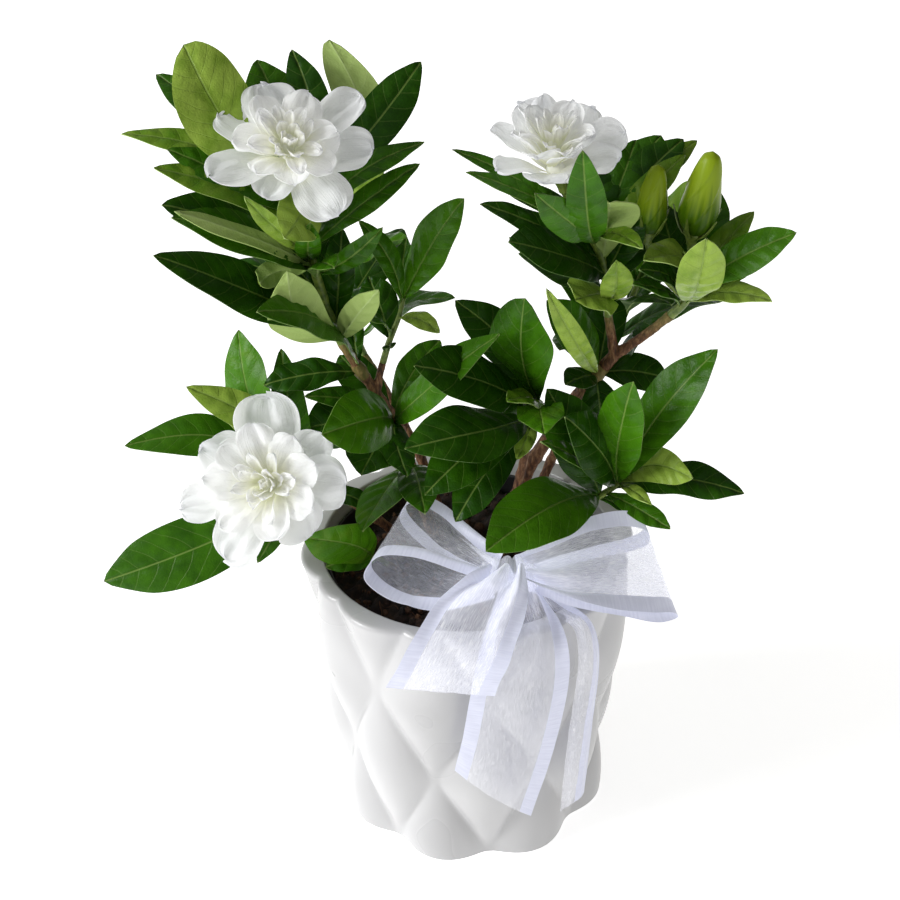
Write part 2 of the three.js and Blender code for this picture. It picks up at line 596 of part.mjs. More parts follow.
const shoots = {
  crown_left: {
    route: [past(trunkLeft), [-57, 2, 264], [-61, -1, 284], [-63, -4, 303], seat(blooms.bloom_upper_left)],
    from: 2.1, to: 1.9,
    leaves: [
      { at: 0.92, tip: [-100, 22, 373], width: 26, arch: 0.06 },
      { at: 0.9, tip: [-113, 8, 364], width: 13 },
      { at: 0.85, tip: [-132, 0, 345], width: 11, roll: 50 },
      { at: 0.8, tip: [-113, -14, 342], width: 12 },
      { at: 0.74, tip: [-116, -24, 340], width: 12 },
      { at: 0.5, tip: [-115, -30, 326], width: 20 },
      { at: 0.48, tip: [-109, -42, 328], width: 20 },
      { at: 0.5, tip: [-72, -48, 294], width: 14, roll: 180 },
      { at: 0.05, tip: [-122, -26, 302], width: 19 },
      { at: 0.1, tip: [-63, -36, 300], width: 20, roll: 180 },
      { at: 0.12, tip: [-31, -24, 284], width: 13 },
      { at: 0.45, tip: [-28, -14, 305], width: 9, roll: 60 },
      { at: 0.42, tip: [-50, -34, 300], width: 12 },
      { at: 0.6, tip: [-15, 0, 327], width: 11 },
      { at: 0.7, tip: [-13, -2, 336], width: 9, arch: 0.12 },
      { at: 0.9, tip: [-14, 22, 362], width: 15 },
      { at: 0.9, tip: [-51, 34, 367], width: 16, roll: 180 },
      { at: 0.9, tip: [-66, 30, 365], width: 10 },
      { at: 0.86, tip: [-74, 24, 363], width: 18 },
      { at: 0.6, tip: [-81, -42, 334], width: 10, light: FRONT },
      { at: 0.44, tip: [-64, -44, 328], width: 16, roll: 180, light: FRONT },
      { at: 0.55, tip: [-52, -42, 327], width: 9, light: FRONT },
    ],
  },
  shoot_left_side: {
    route: [past(sideLeft), [-32, 14, 238], [-27, 16, 250], [-25, 17, 258]],
    from: 1.6, to: 1,
    leaves: [
      { at: 0.95, tip: [0, 10, 307], width: 19 },
      { at: 0.9, tip: [-41, 14, 296], width: 10 },
      { at: 0.93, tip: [-23, 26, 282], width: 7 },
      { at: 0.7, tip: [-10, -4, 253], width: 8 },
      { at: 0.35, tip: [-40, 26, 264], width: 16 },
      { at: 0.4, tip: [-42, -6, 262], width: 10 },
      { at: 0.15, tip: [-30, -2, 244], width: 6 },
    ],
  },
  whorl_left_upper: {
    route: [[-43.2, 8.7, 224], [-46.6, 7.9, 231]],
    from: 4.1, to: 4,
    leaves: [
      { at: 0.6, tip: [-79, -44, 287], width: 20 },
      { at: 0.4, tip: [-85, -6, 228], width: 12 },
      { at: 0.7, tip: [-49, 30, 247], width: 9 },
    ],
  },
  whorl_left_lower: {
    route: [[-30.4, 11.7, 197], [-33.5, 11.2, 204]],
    from: 4.4, to: 4.3,
    leaves: [
      { at: 0.5, tip: [-54, -34, 211], width: 20, arch: 0.16 },
      { at: 0.4, tip: [-45, -22, 194], width: 22 },
      { at: 0.4, tip: [-25, -26, 194], width: 13 },
      { at: 0.2, tip: [14, -16, 258], width: 13, arch: 0.16 },
      { at: 0.2, tip: [-67, -12, 228], width: 11 },
    ],
  },
  whorl_left_low: {
    route: [[-25.1, 13.5, 171], [-26.4, 13.1, 177]],
    from: 4.6, to: 4.5,
    leaves: [
      { at: 0.5, tip: [-18, -34, 182], width: 17 },
      { at: 0.5, tip: [-45, -34, 171], width: 14 },
    ],
  },
  shoot_low_left: {
    route: [past(stemLowLeft), [-70, -7, 177], [-75, -13, 184], seat(blooms.bloom_low_left)],
    from: 1.9, to: 1.9,
    leaves: [
      { at: 0.3, tip: [-98, 16, 244], width: 21 },
      { at: 0.25, tip: [-118, -4, 229], width: 13 },
      { at: 0.35, tip: [-106, -2, 217], width: 7 },
      { at: 0.3, tip: [-99, 4, 202], width: 6 },
      { at: 0.3, tip: [-146, -14, 207], width: 17 },
      { at: 0.2, tip: [-161, -30, 145], width: 27 },
      { at: 0.4, tip: [-91, -40, 161], width: 6 },
      { at: 0.2, tip: [-79, 14, 236], width: 12 },
      { at: 0.2, tip: [-41, -14, 170], width: 9 },
    ],
  },
  shoot_front_left: {
    route: [past(stemFrontLeft), [-40, -10, 139], [-44, -13, 143]],
    from: 1.4, to: 1,
    leaves: [
      { at: 0.9, tip: [-70, -34, 184], width: 25 },
      { at: 0.5, tip: [-63, -22, 145], width: 11 },
    ],
  },
  shoot_centre: {
    route: [past(trunkCentre), [30, -2, 209], [33, -2, 216]],
    from: 1.9, to: 1.2,
    leaves: [
      { at: 0.95, tip: [25, -12, 271], width: 28 },
      { at: 0.8, tip: [-2, 10, 260], width: 13 },
      { at: 0.6, tip: [-21, -30, 251], width: 23 },
      { at: 0.4, tip: [-24, -44, 222], width: 25 },
      { at: 0.5, tip: [22, -24, 201], width: 8 },
      { at: 0.8, tip: [18, -30, 234], width: 12 },
      { at: 0.2, tip: [-17, -46, 200], width: 22 },
      { at: 0.1, tip: [-5, -40, 180], width: 18 },
    ],
  },
  shoot_right_low: {
    route: [past(stemLowRight), [62, -11, 174], [68, -14, 181]],
    from: 1.8, to: 1.2,
    leaves: [
      { at: 0.8, tip: [41, -34, 228], width: 21 },
      { at: 0.6, tip: [31, -40, 220], width: 9 },
      { at: 0.3, tip: [8, -72, 189], width: 27, arch: 0.12 },
      { at: 0.9, tip: [60, -33, 244], width: 20 },
      { at: 0.95, tip: [105, -20, 250], width: 23 },
      { at: 0.8, tip: [97, -30, 192], width: 24, roll: 150 },
      { at: 0.7, tip: [118, -34, 188], width: 17 },
      { at: 0.45, tip: [87, -40, 173], width: 7 },
      { at: 0.9, tip: [78, -40, 187], width: 6 },
      { at: 0.2, tip: [77, -6, 160], width: 7 },
    ],
  },
  whorl_right: {
    route: [[55.4, 10.2, 219], [61, 8.9, 226.5]],
    from: 4.8, to: 4.7,
    leaves: [
      { at: 0.5, tip: [33, -42, 292], width: 9, light: FRONT },
      { at: 0.6, tip: [36, 4, 262], width: 16 },
      { at: 0.5, tip: [89, 10, 218], width: 11 },
      { at: 0.3, tip: [43, -10, 229], width: 13 },
    ],
  },
  crown_right_bloom: {
    route: [past(upRight), [61, 6, 266], [58, 4, 282], [49, 0, 302], seat(blooms.bloom_upper_right)],
    from: 1.9, to: 1.8,
    leaves: [
      { at: 0.3, tip: [18, -26, 304], width: 25 },
      { at: 0.25, tip: [20, -8, 298], width: 9 },
      { at: 0.4, tip: [8, -2, 310], width: 11 },
      { at: 0.5, tip: [17, 6, 315], width: 11 },
      { at: 0.6, tip: [2, -14, 329], width: 15 },
      { at: 0.66, tip: [-2, 14, 328], width: 7 },
      { at: 0.6, tip: [27, -46, 340], width: 10, light: FRONT },
      { at: 0.2, tip: [47, -49, 350], width: 16, light: FRONT, arch: 0.13 },
      { at: 0.7, tip: [50, 30, 338], width: 6 },
      { at: 0.6, tip: [57, 22, 322], width: 14 },
      { at: 0.5, tip: [98, 26, 324], width: 9 },
      { at: 0.5, tip: [87, 28, 323], width: 15 },
      { at: 0.46, tip: [92, -2, 332], width: 11 },
      { at: 0.56, tip: [73, 24, 325], width: 8 },
      { at: 0.6, tip: [57, -40, 327], width: 16, light: FRONT },
      { at: 0.58, tip: [69, -40, 311], width: 7 },
      { at: 0.15, tip: [46, -16, 272], width: 8 },
    ],
  },
  crown_right_buds: {
    route: [past(budRight), BUD_FORK_GREEN, [95, 2, 276], seat(buds.bud_large)],
    from: 2, to: 1.9,
    branch: {
      route: [BUD_FORK_GREEN, [86, 4, 270], [79, 6, 281], seat(buds.bud_small)],
      from: 1.5, to: 1.5,
    },
    leaves: [
      { at: 0.3, tip: [74, -30, 303], width: 16, roll: 180 },
      { at: 0.4, tip: [90, -26, 297], width: 8 },
      { at: 0.25, tip: [94, -44, 312], width: 24, roll: 180 },
      { at: 0.35, tip: [134, -14, 300], width: 15 },
      { at: 0.4, tip: [120, 6, 300], width: 12 },
      { at: 0.2, tip: [125, -26, 275], width: 8 },
      { at: 0.15, tip: [117, -6, 277], width: 6 },
      { at: 0.2, tip: [73, -20, 289], width: 13 },
      { at: 0.15, tip: [68, -22, 282], width: 9 },
      { at: 0.05, tip: [67, -8, 244], width: 9 },
    ],
  },
};

// The shoots at the back, which the photo hides: three leaves to a whorl, each whorl turned on the last
const backShoots = {
  shoot_back_left: {
    route: [past(stemBackLeft), [-54, 58, 230], [-64, 57, 262]],
    from: 1.8, to: 1.1, whorls: 4,
  },
  shoot_back_right: {
    route: [past(stemBackRight), [75, 56, 228], [84, 55, 256]],
    from: 1.8, to: 1.1, whorls: 4,
  },
};

function seededDraw(seed) {
  let state = seed;
  return (low, high) => {
    state = (state * 16807) % 2147483647;
    return low + ((high - low) * state) / 2147483647;
  };
}

function whorledLeaves({ route, whorls }, draw) {
  const curve = curveThrough(route);
  return Array.from({ length: 3 * whorls }, (_, i) => {
    const whorl = Math.floor(i / 3);
    const at = mix(0.12, 0.97, whorl / (whorls - 1));
    const turn = degrees(120 * (i % 3) + 47 * whorl + draw(-12, 12));
    const lean = degrees(draw(18, 34) + 6 * whorl);
    const length = draw(50, 62) - 3 * whorl;
    const root = curve.getPointAt(at);
    const tip = [
      root.x + length * Math.cos(lean) * Math.cos(turn),
      root.y + length * Math.cos(lean) * Math.sin(turn),
      root.z + length * Math.sin(lean),
    ];
    return { at, tip, width: draw(19, 25), light: [0, 0, 1] };
  });
}

// Every node's solids, and the same solids grown by a clearance

const draw = seededDraw(HIDDEN_LEAF_SEED);
Object.values(backShoots).forEach((shoot) => {
  shoot.leaves = whorledLeaves(shoot, draw);
});

const stemParts = Object.fromEntries(Object.entries(woodyStems).map(([name, routes]) => (
  [name, routes.map((route) => (grow) => stem(route, grow))]
)));
const shootParts = Object.fromEntries(Object.entries({ ...shoots, ...backShoots }).map(([name, shoot]) => {
  const parts = leafyParts(shoot);
  if (shoot.branch) parts.push((grow) => stem(shoot.branch, grow));
  return [name, parts];
}));
const bowParts = { bow_knot: [(grow) => stem(KNOT, grow)] };
Object.entries(ribbonRuns).forEach(([name, run]) => {
  bowParts[name] = [(grow) => ribbonRun(run, grow)];
});
const flowerParts = {};
Object.entries(blooms).forEach(([name, shape]) => {
  flowerParts[name] = bloomParts(shape);
});
Object.entries(buds).forEach(([name, shape]) => {
  flowerParts[name] = [(grow) => bud(shape, grow)];
});

const inOrder = {
  pot: [pot],
  grow_pot: [growPot],
  ...stemParts,
  soil: [soil],
  ...bowParts,
  ...flowerParts,
  ...shootParts,
};

// Whatever would cross an earlier node gives way to it, by the gap that neighbours keep
const bodies = {};
const kept = {};
Object.entries(inOrder).forEach(([name, parts]) => {
  const whole = join(parts.map((part) => part(0)));
  const before = Object.values(kept);
  const box = whole.boundingBox();
  const near = before.filter((other) => {
    const b = other.boundingBox();
    return [0, 1, 2].every((k) => b.min[k] < box.max[k] && box.min[k] < b.max[k]);
  });
  bodies[name] = largestBody(near.reduce((left, other) => left.subtract(other), whole));
  kept[name] = join(parts.map((part) => part(GAP)));
});

const LOOKS = [
  { nodes: /^pot$/, color: 0xf1efea, roughness: 0.28 },
  { nodes: /^grow_pot/, color: 0x1b1b1c, roughness: 0.6 },
  { nodes: /^soil/, color: 0x3a2a20, roughness: 0.95 },
  { nodes: /^stem/, color: 0x6f5a41, roughness: 0.85 },
  { nodes: /^bow/, color: 0xf4f5f6, roughness: 0.45 },
  { nodes: /^bloom/, color: 0xfbf8ec, roughness: 0.55 },
  { nodes: /^bud/, color: 0xb9cf6a, roughness: 0.4 },
  { nodes: /./, color: 0x2f5d2a, roughness: 0.3 },
];

const group = new THREE.Group();
group.name = 'potted_gardenia';
Object.entries(bodies).forEach(([name, body]) => {
  const { color, roughness } = LOOKS.find(({ nodes }) => nodes.test(name));
  const material = new THREE.MeshStandardMaterial({ color, roughness, metalness: 0 });
  const mesh = new THREE.Mesh(geometryOf(body), material);
  mesh.name = name;
  group.add(mesh);
});

export default group;
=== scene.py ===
import math
import random

import bpy
import numpy as np
from mathutils import Matrix, Vector, noise


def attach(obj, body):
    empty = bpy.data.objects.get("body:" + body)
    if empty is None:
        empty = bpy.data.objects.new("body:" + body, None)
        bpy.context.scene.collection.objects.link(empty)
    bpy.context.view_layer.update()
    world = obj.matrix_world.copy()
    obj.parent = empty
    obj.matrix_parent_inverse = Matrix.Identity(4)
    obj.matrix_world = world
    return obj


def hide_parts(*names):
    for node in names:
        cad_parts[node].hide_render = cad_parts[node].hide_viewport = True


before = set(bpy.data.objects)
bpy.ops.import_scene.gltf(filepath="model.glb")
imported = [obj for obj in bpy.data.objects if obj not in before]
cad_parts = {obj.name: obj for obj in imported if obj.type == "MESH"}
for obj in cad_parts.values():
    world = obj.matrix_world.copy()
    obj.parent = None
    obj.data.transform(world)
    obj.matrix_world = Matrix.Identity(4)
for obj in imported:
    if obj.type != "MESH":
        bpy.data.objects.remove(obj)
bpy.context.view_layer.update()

mm = 0.001
skyward = np.array((0, -0.5, 0.87))  # leaves turn their faces up and to the front
frontward = np.array((0, -1, 0.1))   # those that point that way themselves face the front
outFront = np.array((0, -0.84, 0.55))  # and some lie open to whoever stands in front
windowward = np.array((-0.46, -0.67, 0.59))  # or catch the window's sheen


# Camera: fitted to the rim's ellipse, the foot and the pot's sides in the photograph
cameraFit = {
    "place": (0, -646.4, 613.4),
    "pitchDown": 33.19,
    "yaw": -0.6,
    "roll": -1.65,
    "lens": 70,
    "sensor": 36,
}


def addCamera(fit):
    pitch, yaw, roll = (math.radians(fit[name]) for name in ("pitchDown", "yaw", "roll"))
    flat = math.cos(pitch)
    ahead = Vector((math.sin(yaw) * flat, math.cos(yaw) * flat, -math.sin(pitch)))
    level = Vector((math.cos(yaw), -math.sin(yaw), 0))
    over = level.cross(ahead)
    right = level * math.cos(roll) + over * math.sin(roll)
    top = over * math.cos(roll) - level * math.sin(roll)
    bpy.ops.object.camera_add()
    camera = bpy.context.object
    turn = Matrix((right, top, -ahead)).transposed().to_4x4()
    camera.matrix_world = Matrix.Translation(Vector(fit["place"]) * mm) @ turn
    camera.data.lens = fit["lens"]
    camera.data.sensor_width = fit["sensor"]
    bpy.context.scene.camera = camera


addCamera(cameraFit)
print("camera placed")


# Small tools

def deselectAll():
    if bpy.context.object and bpy.context.object.mode != "OBJECT":
        bpy.ops.object.mode_set(mode="OBJECT")
    bpy.ops.object.select_all(action="DESELECT")


def pick(piece):
    deselectAll()
    piece.select_set(True)
    bpy.context.view_layer.objects.active = piece


def copyOf(master, name):
    piece = master.copy()
    piece.data = master.data.copy()
    piece.name = name
    bpy.context.scene.collection.objects.link(piece)
    return piece


def joined(name, pieces):
    deselectAll()
    for piece in pieces:
        piece.select_set(True)
    bpy.context.view_layer.objects.active = pieces[0]
    if len(pieces) > 1:
        bpy.ops.object.join()
    whole = bpy.context.object
    whole.name = name
    return whole


def applied(piece, kind, **settings):
    pick(piece)
    modifier = piece.modifiers.new(kind.title(), kind)
    for name, value in settings.items():
        setattr(modifier, name, value)
    bpy.ops.object.modifier_apply(modifier=modifier.name)


def weld(piece, distance=0.01, outward=False):
    pick(piece)
    bpy.ops.object.mode_set(mode="EDIT")
    bpy.ops.mesh.select_all(action="SELECT")
    bpy.ops.mesh.remove_doubles(threshold=distance * mm)
    if outward:
        bpy.ops.mesh.normals_make_consistent(inside=False)
    bpy.ops.object.mode_set(mode="OBJECT")


def smooth(piece, angle=60):
    pick(piece)
    bpy.ops.object.shade_smooth_by_angle(angle=math.radians(angle))


def points(mesh):
    flat = np.empty(3 * len(mesh.vertices))
    mesh.vertices.foreach_get("co", flat)
    return flat.reshape(-1, 3)


def movePoints(mesh, places):
    # places are in millimetres
    mesh.vertices.foreach_set("co", (np.asarray(places) * mm).ravel())
    mesh.update()


def setTone(mesh, values):
    # one number a point, which a material reads as the piece's age, shade or cover
    attribute = mesh.attributes.new("tone", "FLOAT", "POINT")
    attribute.data.foreach_set("value", np.broadcast_to(values, len(mesh.vertices)).astype(float))


def setUV(mesh, name, across, along):
    layer = mesh.uv_layers.get(name) or mesh.uv_layers.new(name=name)
    corner = np.empty(len(mesh.loops), int)
    mesh.loops.foreach_get("vertex_index", corner)
    layer.data.foreach_set("uv", np.stack((across[corner], along[corner]), axis=1).ravel())


def unit(vector):
    return vector / np.linalg.norm(vector, axis=-1, keepdims=True)


def turnedAbout(vector, axis, angle):
    # vector is square to axis, and angle is in degrees
    return vector * math.cos(math.radians(angle)) + np.cross(axis, vector) * math.sin(math.radians(angle))


def eased(value, low, high):
    share = np.clip((value - low) / (high - low), 0, 1)
    return share * share * (3 - 2 * share)


def curveThrough(route):
    # the centripetal curve through a route's points, as the part's source draws it
    knots = [np.array(place, float) for place in route]
    knots = [2 * knots[0] - knots[1], *knots, 2 * knots[-1] - knots[-2]]

    def at(share):
        whole = min(max(share, 0), 1) * (len(route) - 1)
        first = min(int(whole), len(route) - 2)
        t = whole - first
        a, b, c, d = knots[first:first + 4]
        ab, bc, cd = (np.linalg.norm(q - p) ** 0.5 for p, q in ((a, b), (b, c), (c, d)))
        leaving = ((b - a) / ab - (c - a) / (ab + bc) + (c - b) / bc) * bc
        arriving = ((c - b) / bc - (d - b) / (bc + cd) + (d - c) / cd) * bc
        square = 3 * (c - b) - 2 * leaving - arriving
        cube = 2 * (b - c) + leaving + arriving
        return b + leaving * t + square * t * t + cube * t ** 3

    return at


def alongRoute(route, shares):
    # points at shares of the route's length
    curve = curveThrough(route)
    fine = np.array([curve(i / 200) for i in range(201)])
    run = np.concatenate(([0], np.cumsum(np.linalg.norm(np.diff(fine, axis=0), axis=1))))
    return np.stack([np.interp(np.array(shares) * run[-1], run, fine[:, k]) for k in range(3)], axis=1)


def tube(centres, radii, roundness=3):
    # a round stem: a path with thickness, made a mesh
    deselectAll()
    bpy.ops.curve.primitive_nurbs_path_add()
    stem = bpy.context.object
    stem.data.splines.clear()
    spline = stem.data.splines.new("POLY")
    spline.points.add(len(centres) - 1)
    for point, centre, radius in zip(spline.points, centres, radii):
        point.co = (*(c * mm for c in centre), 1)
        point.radius = radius
    stem.data.bevel_depth = mm
    stem.data.bevel_resolution = roundness
    stem.data.use_fill_caps = True
    bpy.ops.object.convert(target="MESH")
    stem = bpy.context.object
    weld(stem, outward=True)
    return stem


def bladeSheet(name, along, across):
    # a flat sheet of squares to shape: x runs -1 to 1 from root to tip, y from edge to edge
    deselectAll()
    bpy.ops.mesh.primitive_grid_add(x_subdivisions=along, y_subdivisions=across, size=2)
    sheet = bpy.context.object
    sheet.name = name
    return sheet


def spun(name, outline, steps, startAngle=0):
    # a half outline of (radius, height), drawn point by point from axis to axis and spun about Z
    a = math.radians(startAngle)
    deselectAll()
    bpy.ops.mesh.primitive_plane_add(size=mm)
    piece = bpy.context.object
    piece.name = name
    bpy.ops.object.mode_set(mode="EDIT")
    bpy.ops.mesh.merge(type="CENTER")
    bpy.ops.transform.translate(value=(0, 0, outline[0][1] * mm))
    for (radius, height), (nextRadius, nextHeight) in zip(outline, outline[1:]):
        out = (nextRadius - radius) * mm
        step = (out * math.cos(a), out * math.sin(a), (nextHeight - height) * mm)
        bpy.ops.mesh.extrude_region_move(TRANSFORM_OT_translate={"value": step})
    bpy.ops.mesh.select_all(action="SELECT")
    bpy.ops.mesh.spin(steps=steps, angle=2 * math.pi, center=(0, 0, 0), axis=(0, 0, 1))
    bpy.ops.object.mode_set(mode="OBJECT")
    weld(piece, outward=True)
    return piece


def standIn(piece, nodes):
    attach(piece, "root")
    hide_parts(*nodes)
    triangles = sum(len(polygon.vertices) - 2 for polygon in piece.data.polygons)
    print(piece.name, "stands for", ", ".join(nodes), "with", triangles, "triangles")


# Materials

def linear(code, alpha=1):
    shades = [int(code[i:i + 2], 16) / 255 for i in (1, 3, 5)]
    return (*(s / 12.92 if s <= 0.04045 else ((s + 0.055) / 1.055) ** 2.4 for s in shades), alpha)


def newMaterial(name):
    material = bpy.data.materials.new(name)
    material.use_nodes = True
    return material, material.node_tree, material.node_tree.nodes["Principled BSDF"]


def addNode(tree, kind, inputs=(), links=(), stops=(), **settings):
    # one node with its settings, its values by socket, its links by socket, and its ramp's stops
    node = tree.nodes.new(kind)
    for name, value in settings.items():
        setattr(node, name, value)
    for socket, value in dict(inputs).items():
        node.inputs[socket].default_value = value
    for socket, source in dict(links).items():
        tree.links.new(source, node.inputs[socket])
    for i, (place, code) in enumerate(stops):
        elements = node.color_ramp.elements
        element = elements[i] if i < len(elements) else elements.new(place)
        element.position = place
        element.color = linear(code)
    return node


def glazedEarthenware():
    # white tin glaze over cast clay: a soft satin shine with a faint unevenness
    material, tree, shader = newMaterial("glazed earthenware")
    place = addNode(tree, "ShaderNodeTexCoord").outputs["Object"]
    pooling = addNode(tree, "ShaderNodeTexNoise", {"Scale": 1 / (30 * mm), "Detail": 0}, {"Vector": place})
    shade = addNode(tree, "ShaderNodeValToRGB", {}, {"Fac": pooling.outputs["Fac"]},
                    [(0.0, "#b3b3b4"), (1.0, "#cbcbcc")])
    gloss = addNode(tree, "ShaderNodeMapRange", {"To Min": 0.24, "To Max": 0.34},
                    {"Value": pooling.outputs["Fac"]})
    tree.links.new(shade.outputs["Color"], shader.inputs["Base Color"])
    tree.links.new(gloss.outputs["Result"], shader.inputs["Roughness"])
    shader.inputs["Coat Weight"].default_value = 0.2
    shader.inputs["Coat Roughness"].default_value = 0.2
    return material


def mouldedPolypropylene():
    # thin black nursery plastic: dull, with a fine moulded grain
    material, tree, shader = newMaterial("moulded black polypropylene")
    place = addNode(tree, "ShaderNodeTexCoord").outputs["Object"]
    grain = addNode(tree, "ShaderNodeTexNoise", {"Scale": 1 / (0.7 * mm), "Detail": 2}, {"Vector": place})
    shade = addNode(tree, "ShaderNodeValToRGB", {}, {"Fac": grain.outputs["Fac"]},
                    [(0.3, "#121213"), (0.7, "#1f1f21")])
    bump = addNode(tree, "ShaderNodeBump", {"Strength": 0.2, "Distance": 0.1 * mm},
                   {"Height": grain.outputs["Fac"]})
    tree.links.new(shade.outputs["Color"], shader.inputs["Base Color"])
    tree.links.new(bump.outputs["Normal"], shader.inputs["Normal"])
    shader.inputs["Roughness"].default_value = 0.5
    return material


def pottingMix():
    # damp peat and bark: near black, with rusty fibres and pale crumbs
    material, tree, shader = newMaterial("damp potting mix")
    place = addNode(tree, "ShaderNodeTexCoord").outputs["Object"]
    clods = addNode(tree, "ShaderNodeTexNoise", {"Scale": 1 / (4 * mm), "Detail": 6, "Roughness": 0.7},
                    {"Vector": place})
    tone = addNode(tree, "ShaderNodeAttribute", attribute_name="tone")
    lifted = addNode(tree, "ShaderNodeMath", {}, {0: clods.outputs["Fac"], 1: tone.outputs["Fac"]},
                     operation="ADD", use_clamp=True)
    shade = addNode(tree, "ShaderNodeValToRGB", {}, {"Fac": lifted.outputs[0]},
                    [(0.36, "#0b0706"), (0.52, "#23160f"), (0.66, "#3d2719"), (0.9, "#6b4a30")])
    bump = addNode(tree, "ShaderNodeBump", {"Strength": 0.9, "Distance": 0.8 * mm},
                   {"Height": clods.outputs["Fac"]})
    tree.links.new(shade.outputs["Color"], shader.inputs["Base Color"])
    tree.links.new(bump.outputs["Normal"], shader.inputs["Normal"])
    shader.inputs["Roughness"].default_value = 0.92
    return material


def gardeniaBark():
    # thin grey-brown bark with lengthwise cracks, greener towards the young tips
    material, tree, shader = newMaterial("gardenia bark")
    place = addNode(tree, "ShaderNodeTexCoord").outputs["Object"]
    drawn = addNode(tree, "ShaderNodeMapping", {"Scale": (1, 1, 0.3)}, {"Vector": place})
    cracks = addNode(tree, "ShaderNodeTexNoise", {"Scale": 1 / (1.4 * mm), "Detail": 5, "Roughness": 0.65},
                     {"Vector": drawn.outputs["Vector"]})
    old = addNode(tree, "ShaderNodeValToRGB", {}, {"Fac": cracks.outputs["Fac"]},
                  [(0.32, "#331d12"), (0.5, "#714a2f"), (0.68, "#a87f5a")])
    tone = addNode(tree, "ShaderNodeAttribute", attribute_name="tone")
    shade = addNode(tree, "ShaderNodeMix", {7: linear("#7d8a3c")},
                    {0: tone.outputs["Fac"], 6: old.outputs["Color"]}, data_type="RGBA")
    bump = addNode(tree, "ShaderNodeBump", {"Strength": 0.7, "Distance": 0.35 * mm},
                   {"Height": cracks.outputs["Fac"]})
    tree.links.new(shade.outputs[2], shader.inputs["Base Color"])
    tree.links.new(bump.outputs["Normal"], shader.inputs["Normal"])
    shader.inputs["Roughness"].default_value = 0.7
    return material


def greenTwig():
    # this year's growth: smooth, waxy and yellow-green
    material, tree, shader = newMaterial("green twig")
    place = addNode(tree, "ShaderNodeTexCoord").outputs["Object"]
    flecks = addNode(tree, "ShaderNodeTexNoise", {"Scale": 1 / (2.5 * mm), "Detail": 3}, {"Vector": place})
    shade = addNode(tree, "ShaderNodeValToRGB", {}, {"Fac": flecks.outputs["Fac"]},
                    [(0.3, "#4c6424"), (0.7, "#82953f")])
    tree.links.new(shade.outputs["Color"], shader.inputs["Base Color"])
    shader.inputs["Roughness"].default_value = 0.42
    return material


def leafSkin(name, shades, finish):
    # leaf shades run from old to young by the tone, and the bright tone is partly a painted sheen; pale
    # veins branch off a pale midrib
    material, tree, shader = newMaterial(name)
    place = addNode(tree, "ShaderNodeTexCoord").outputs["Object"]
    tone = addNode(tree, "ShaderNodeAttribute", attribute_name="tone")
    mottle = addNode(tree, "ShaderNodeTexNoise", {"Scale": 1 / (9 * mm), "Detail": 4}, {"Vector": place})
    shift = addNode(tree, "ShaderNodeMapRange",
                    {"From Min": 0.3, "From Max": 0.7, "To Min": -0.13, "To Max": 0.13},
                    {"Value": mottle.outputs["Fac"]})
    age = addNode(tree, "ShaderNodeMath", {}, {0: tone.outputs["Fac"], 1: shift.outputs["Result"]},
                  operation="ADD", use_clamp=True)
    flesh = addNode(tree, "ShaderNodeValToRGB", {}, {"Fac": age.outputs[0]}, shades)
    veins = addNode(tree, "ShaderNodeUVMap", uv_map="veins")
    parts = addNode(tree, "ShaderNodeSeparateXYZ", {}, {0: veins.outputs["UV"]})
    fromMidrib = addNode(tree, "ShaderNodeMath", {}, {0: parts.outputs["Y"]}, operation="ABSOLUTE")
    midrib = addNode(tree, "ShaderNodeMapRange",
                     {"From Min": 0.15, "From Max": 0.6, "To Min": finish["midrib"], "To Max": 0},
                     {"Value": fromMidrib.outputs[0]}, interpolation_type="SMOOTHSTEP")
    fromVein = addNode(tree, "ShaderNodeMath", {1: 0.5}, {0: parts.outputs["X"]}, operation="PINGPONG")
    sideVein = addNode(tree, "ShaderNodeMapRange",
                       {"From Min": 0.0, "From Max": 0.06, "To Min": finish["sideVeins"], "To Max": 0},
                       {"Value": fromVein.outputs[0]}, interpolation_type="SMOOTHSTEP")
    vein = addNode(tree, "ShaderNodeMath", {}, {0: midrib.outputs["Result"], 1: sideVein.outputs["Result"]},
                   operation="MAXIMUM")
    shade = addNode(tree, "ShaderNodeMix", {7: linear(finish["veinShade"])},
                    {0: vein.outputs[0], 6: flesh.outputs["Color"]}, data_type="RGBA")
    net = addNode(tree, "ShaderNodeTexVoronoi", {"Scale": 1 / (1.3 * mm)}, {"Vector": place},
                  feature="DISTANCE_TO_EDGE")
    groove = addNode(tree, "ShaderNodeMath", {1: finish["raise"]},
                     {0: vein.outputs[0], 2: net.outputs["Distance"]}, operation="MULTIPLY_ADD")
    pucker = addNode(tree, "ShaderNodeTexNoise", {"Scale": 1 / (5 * mm), "Detail": 2}, {"Vector": place})
    relief = addNode(tree, "ShaderNodeMath", {1: 1.6}, {0: pucker.outputs["Fac"], 2: groove.outputs[0]},
                     operation="MULTIPLY_ADD")
    bump = addNode(tree, "ShaderNodeBump", {"Strength": 0.55, "Distance": 0.3 * mm},
                   {"Height": relief.outputs[0]})
    tree.links.new(shade.outputs[2], shader.inputs["Base Color"])
    tree.links.new(bump.outputs["Normal"], shader.inputs["Normal"])
    shader.inputs["Roughness"].default_value = finish["roughness"]
    shader.inputs["Specular IOR Level"].default_value = finish["specular"]
    shader.inputs["Coat Weight"].default_value = finish["wax"]
    shader.inputs["Coat Roughness"].default_value = 0.24
    shader.inputs["Coat IOR"].default_value = 1.35
    return material


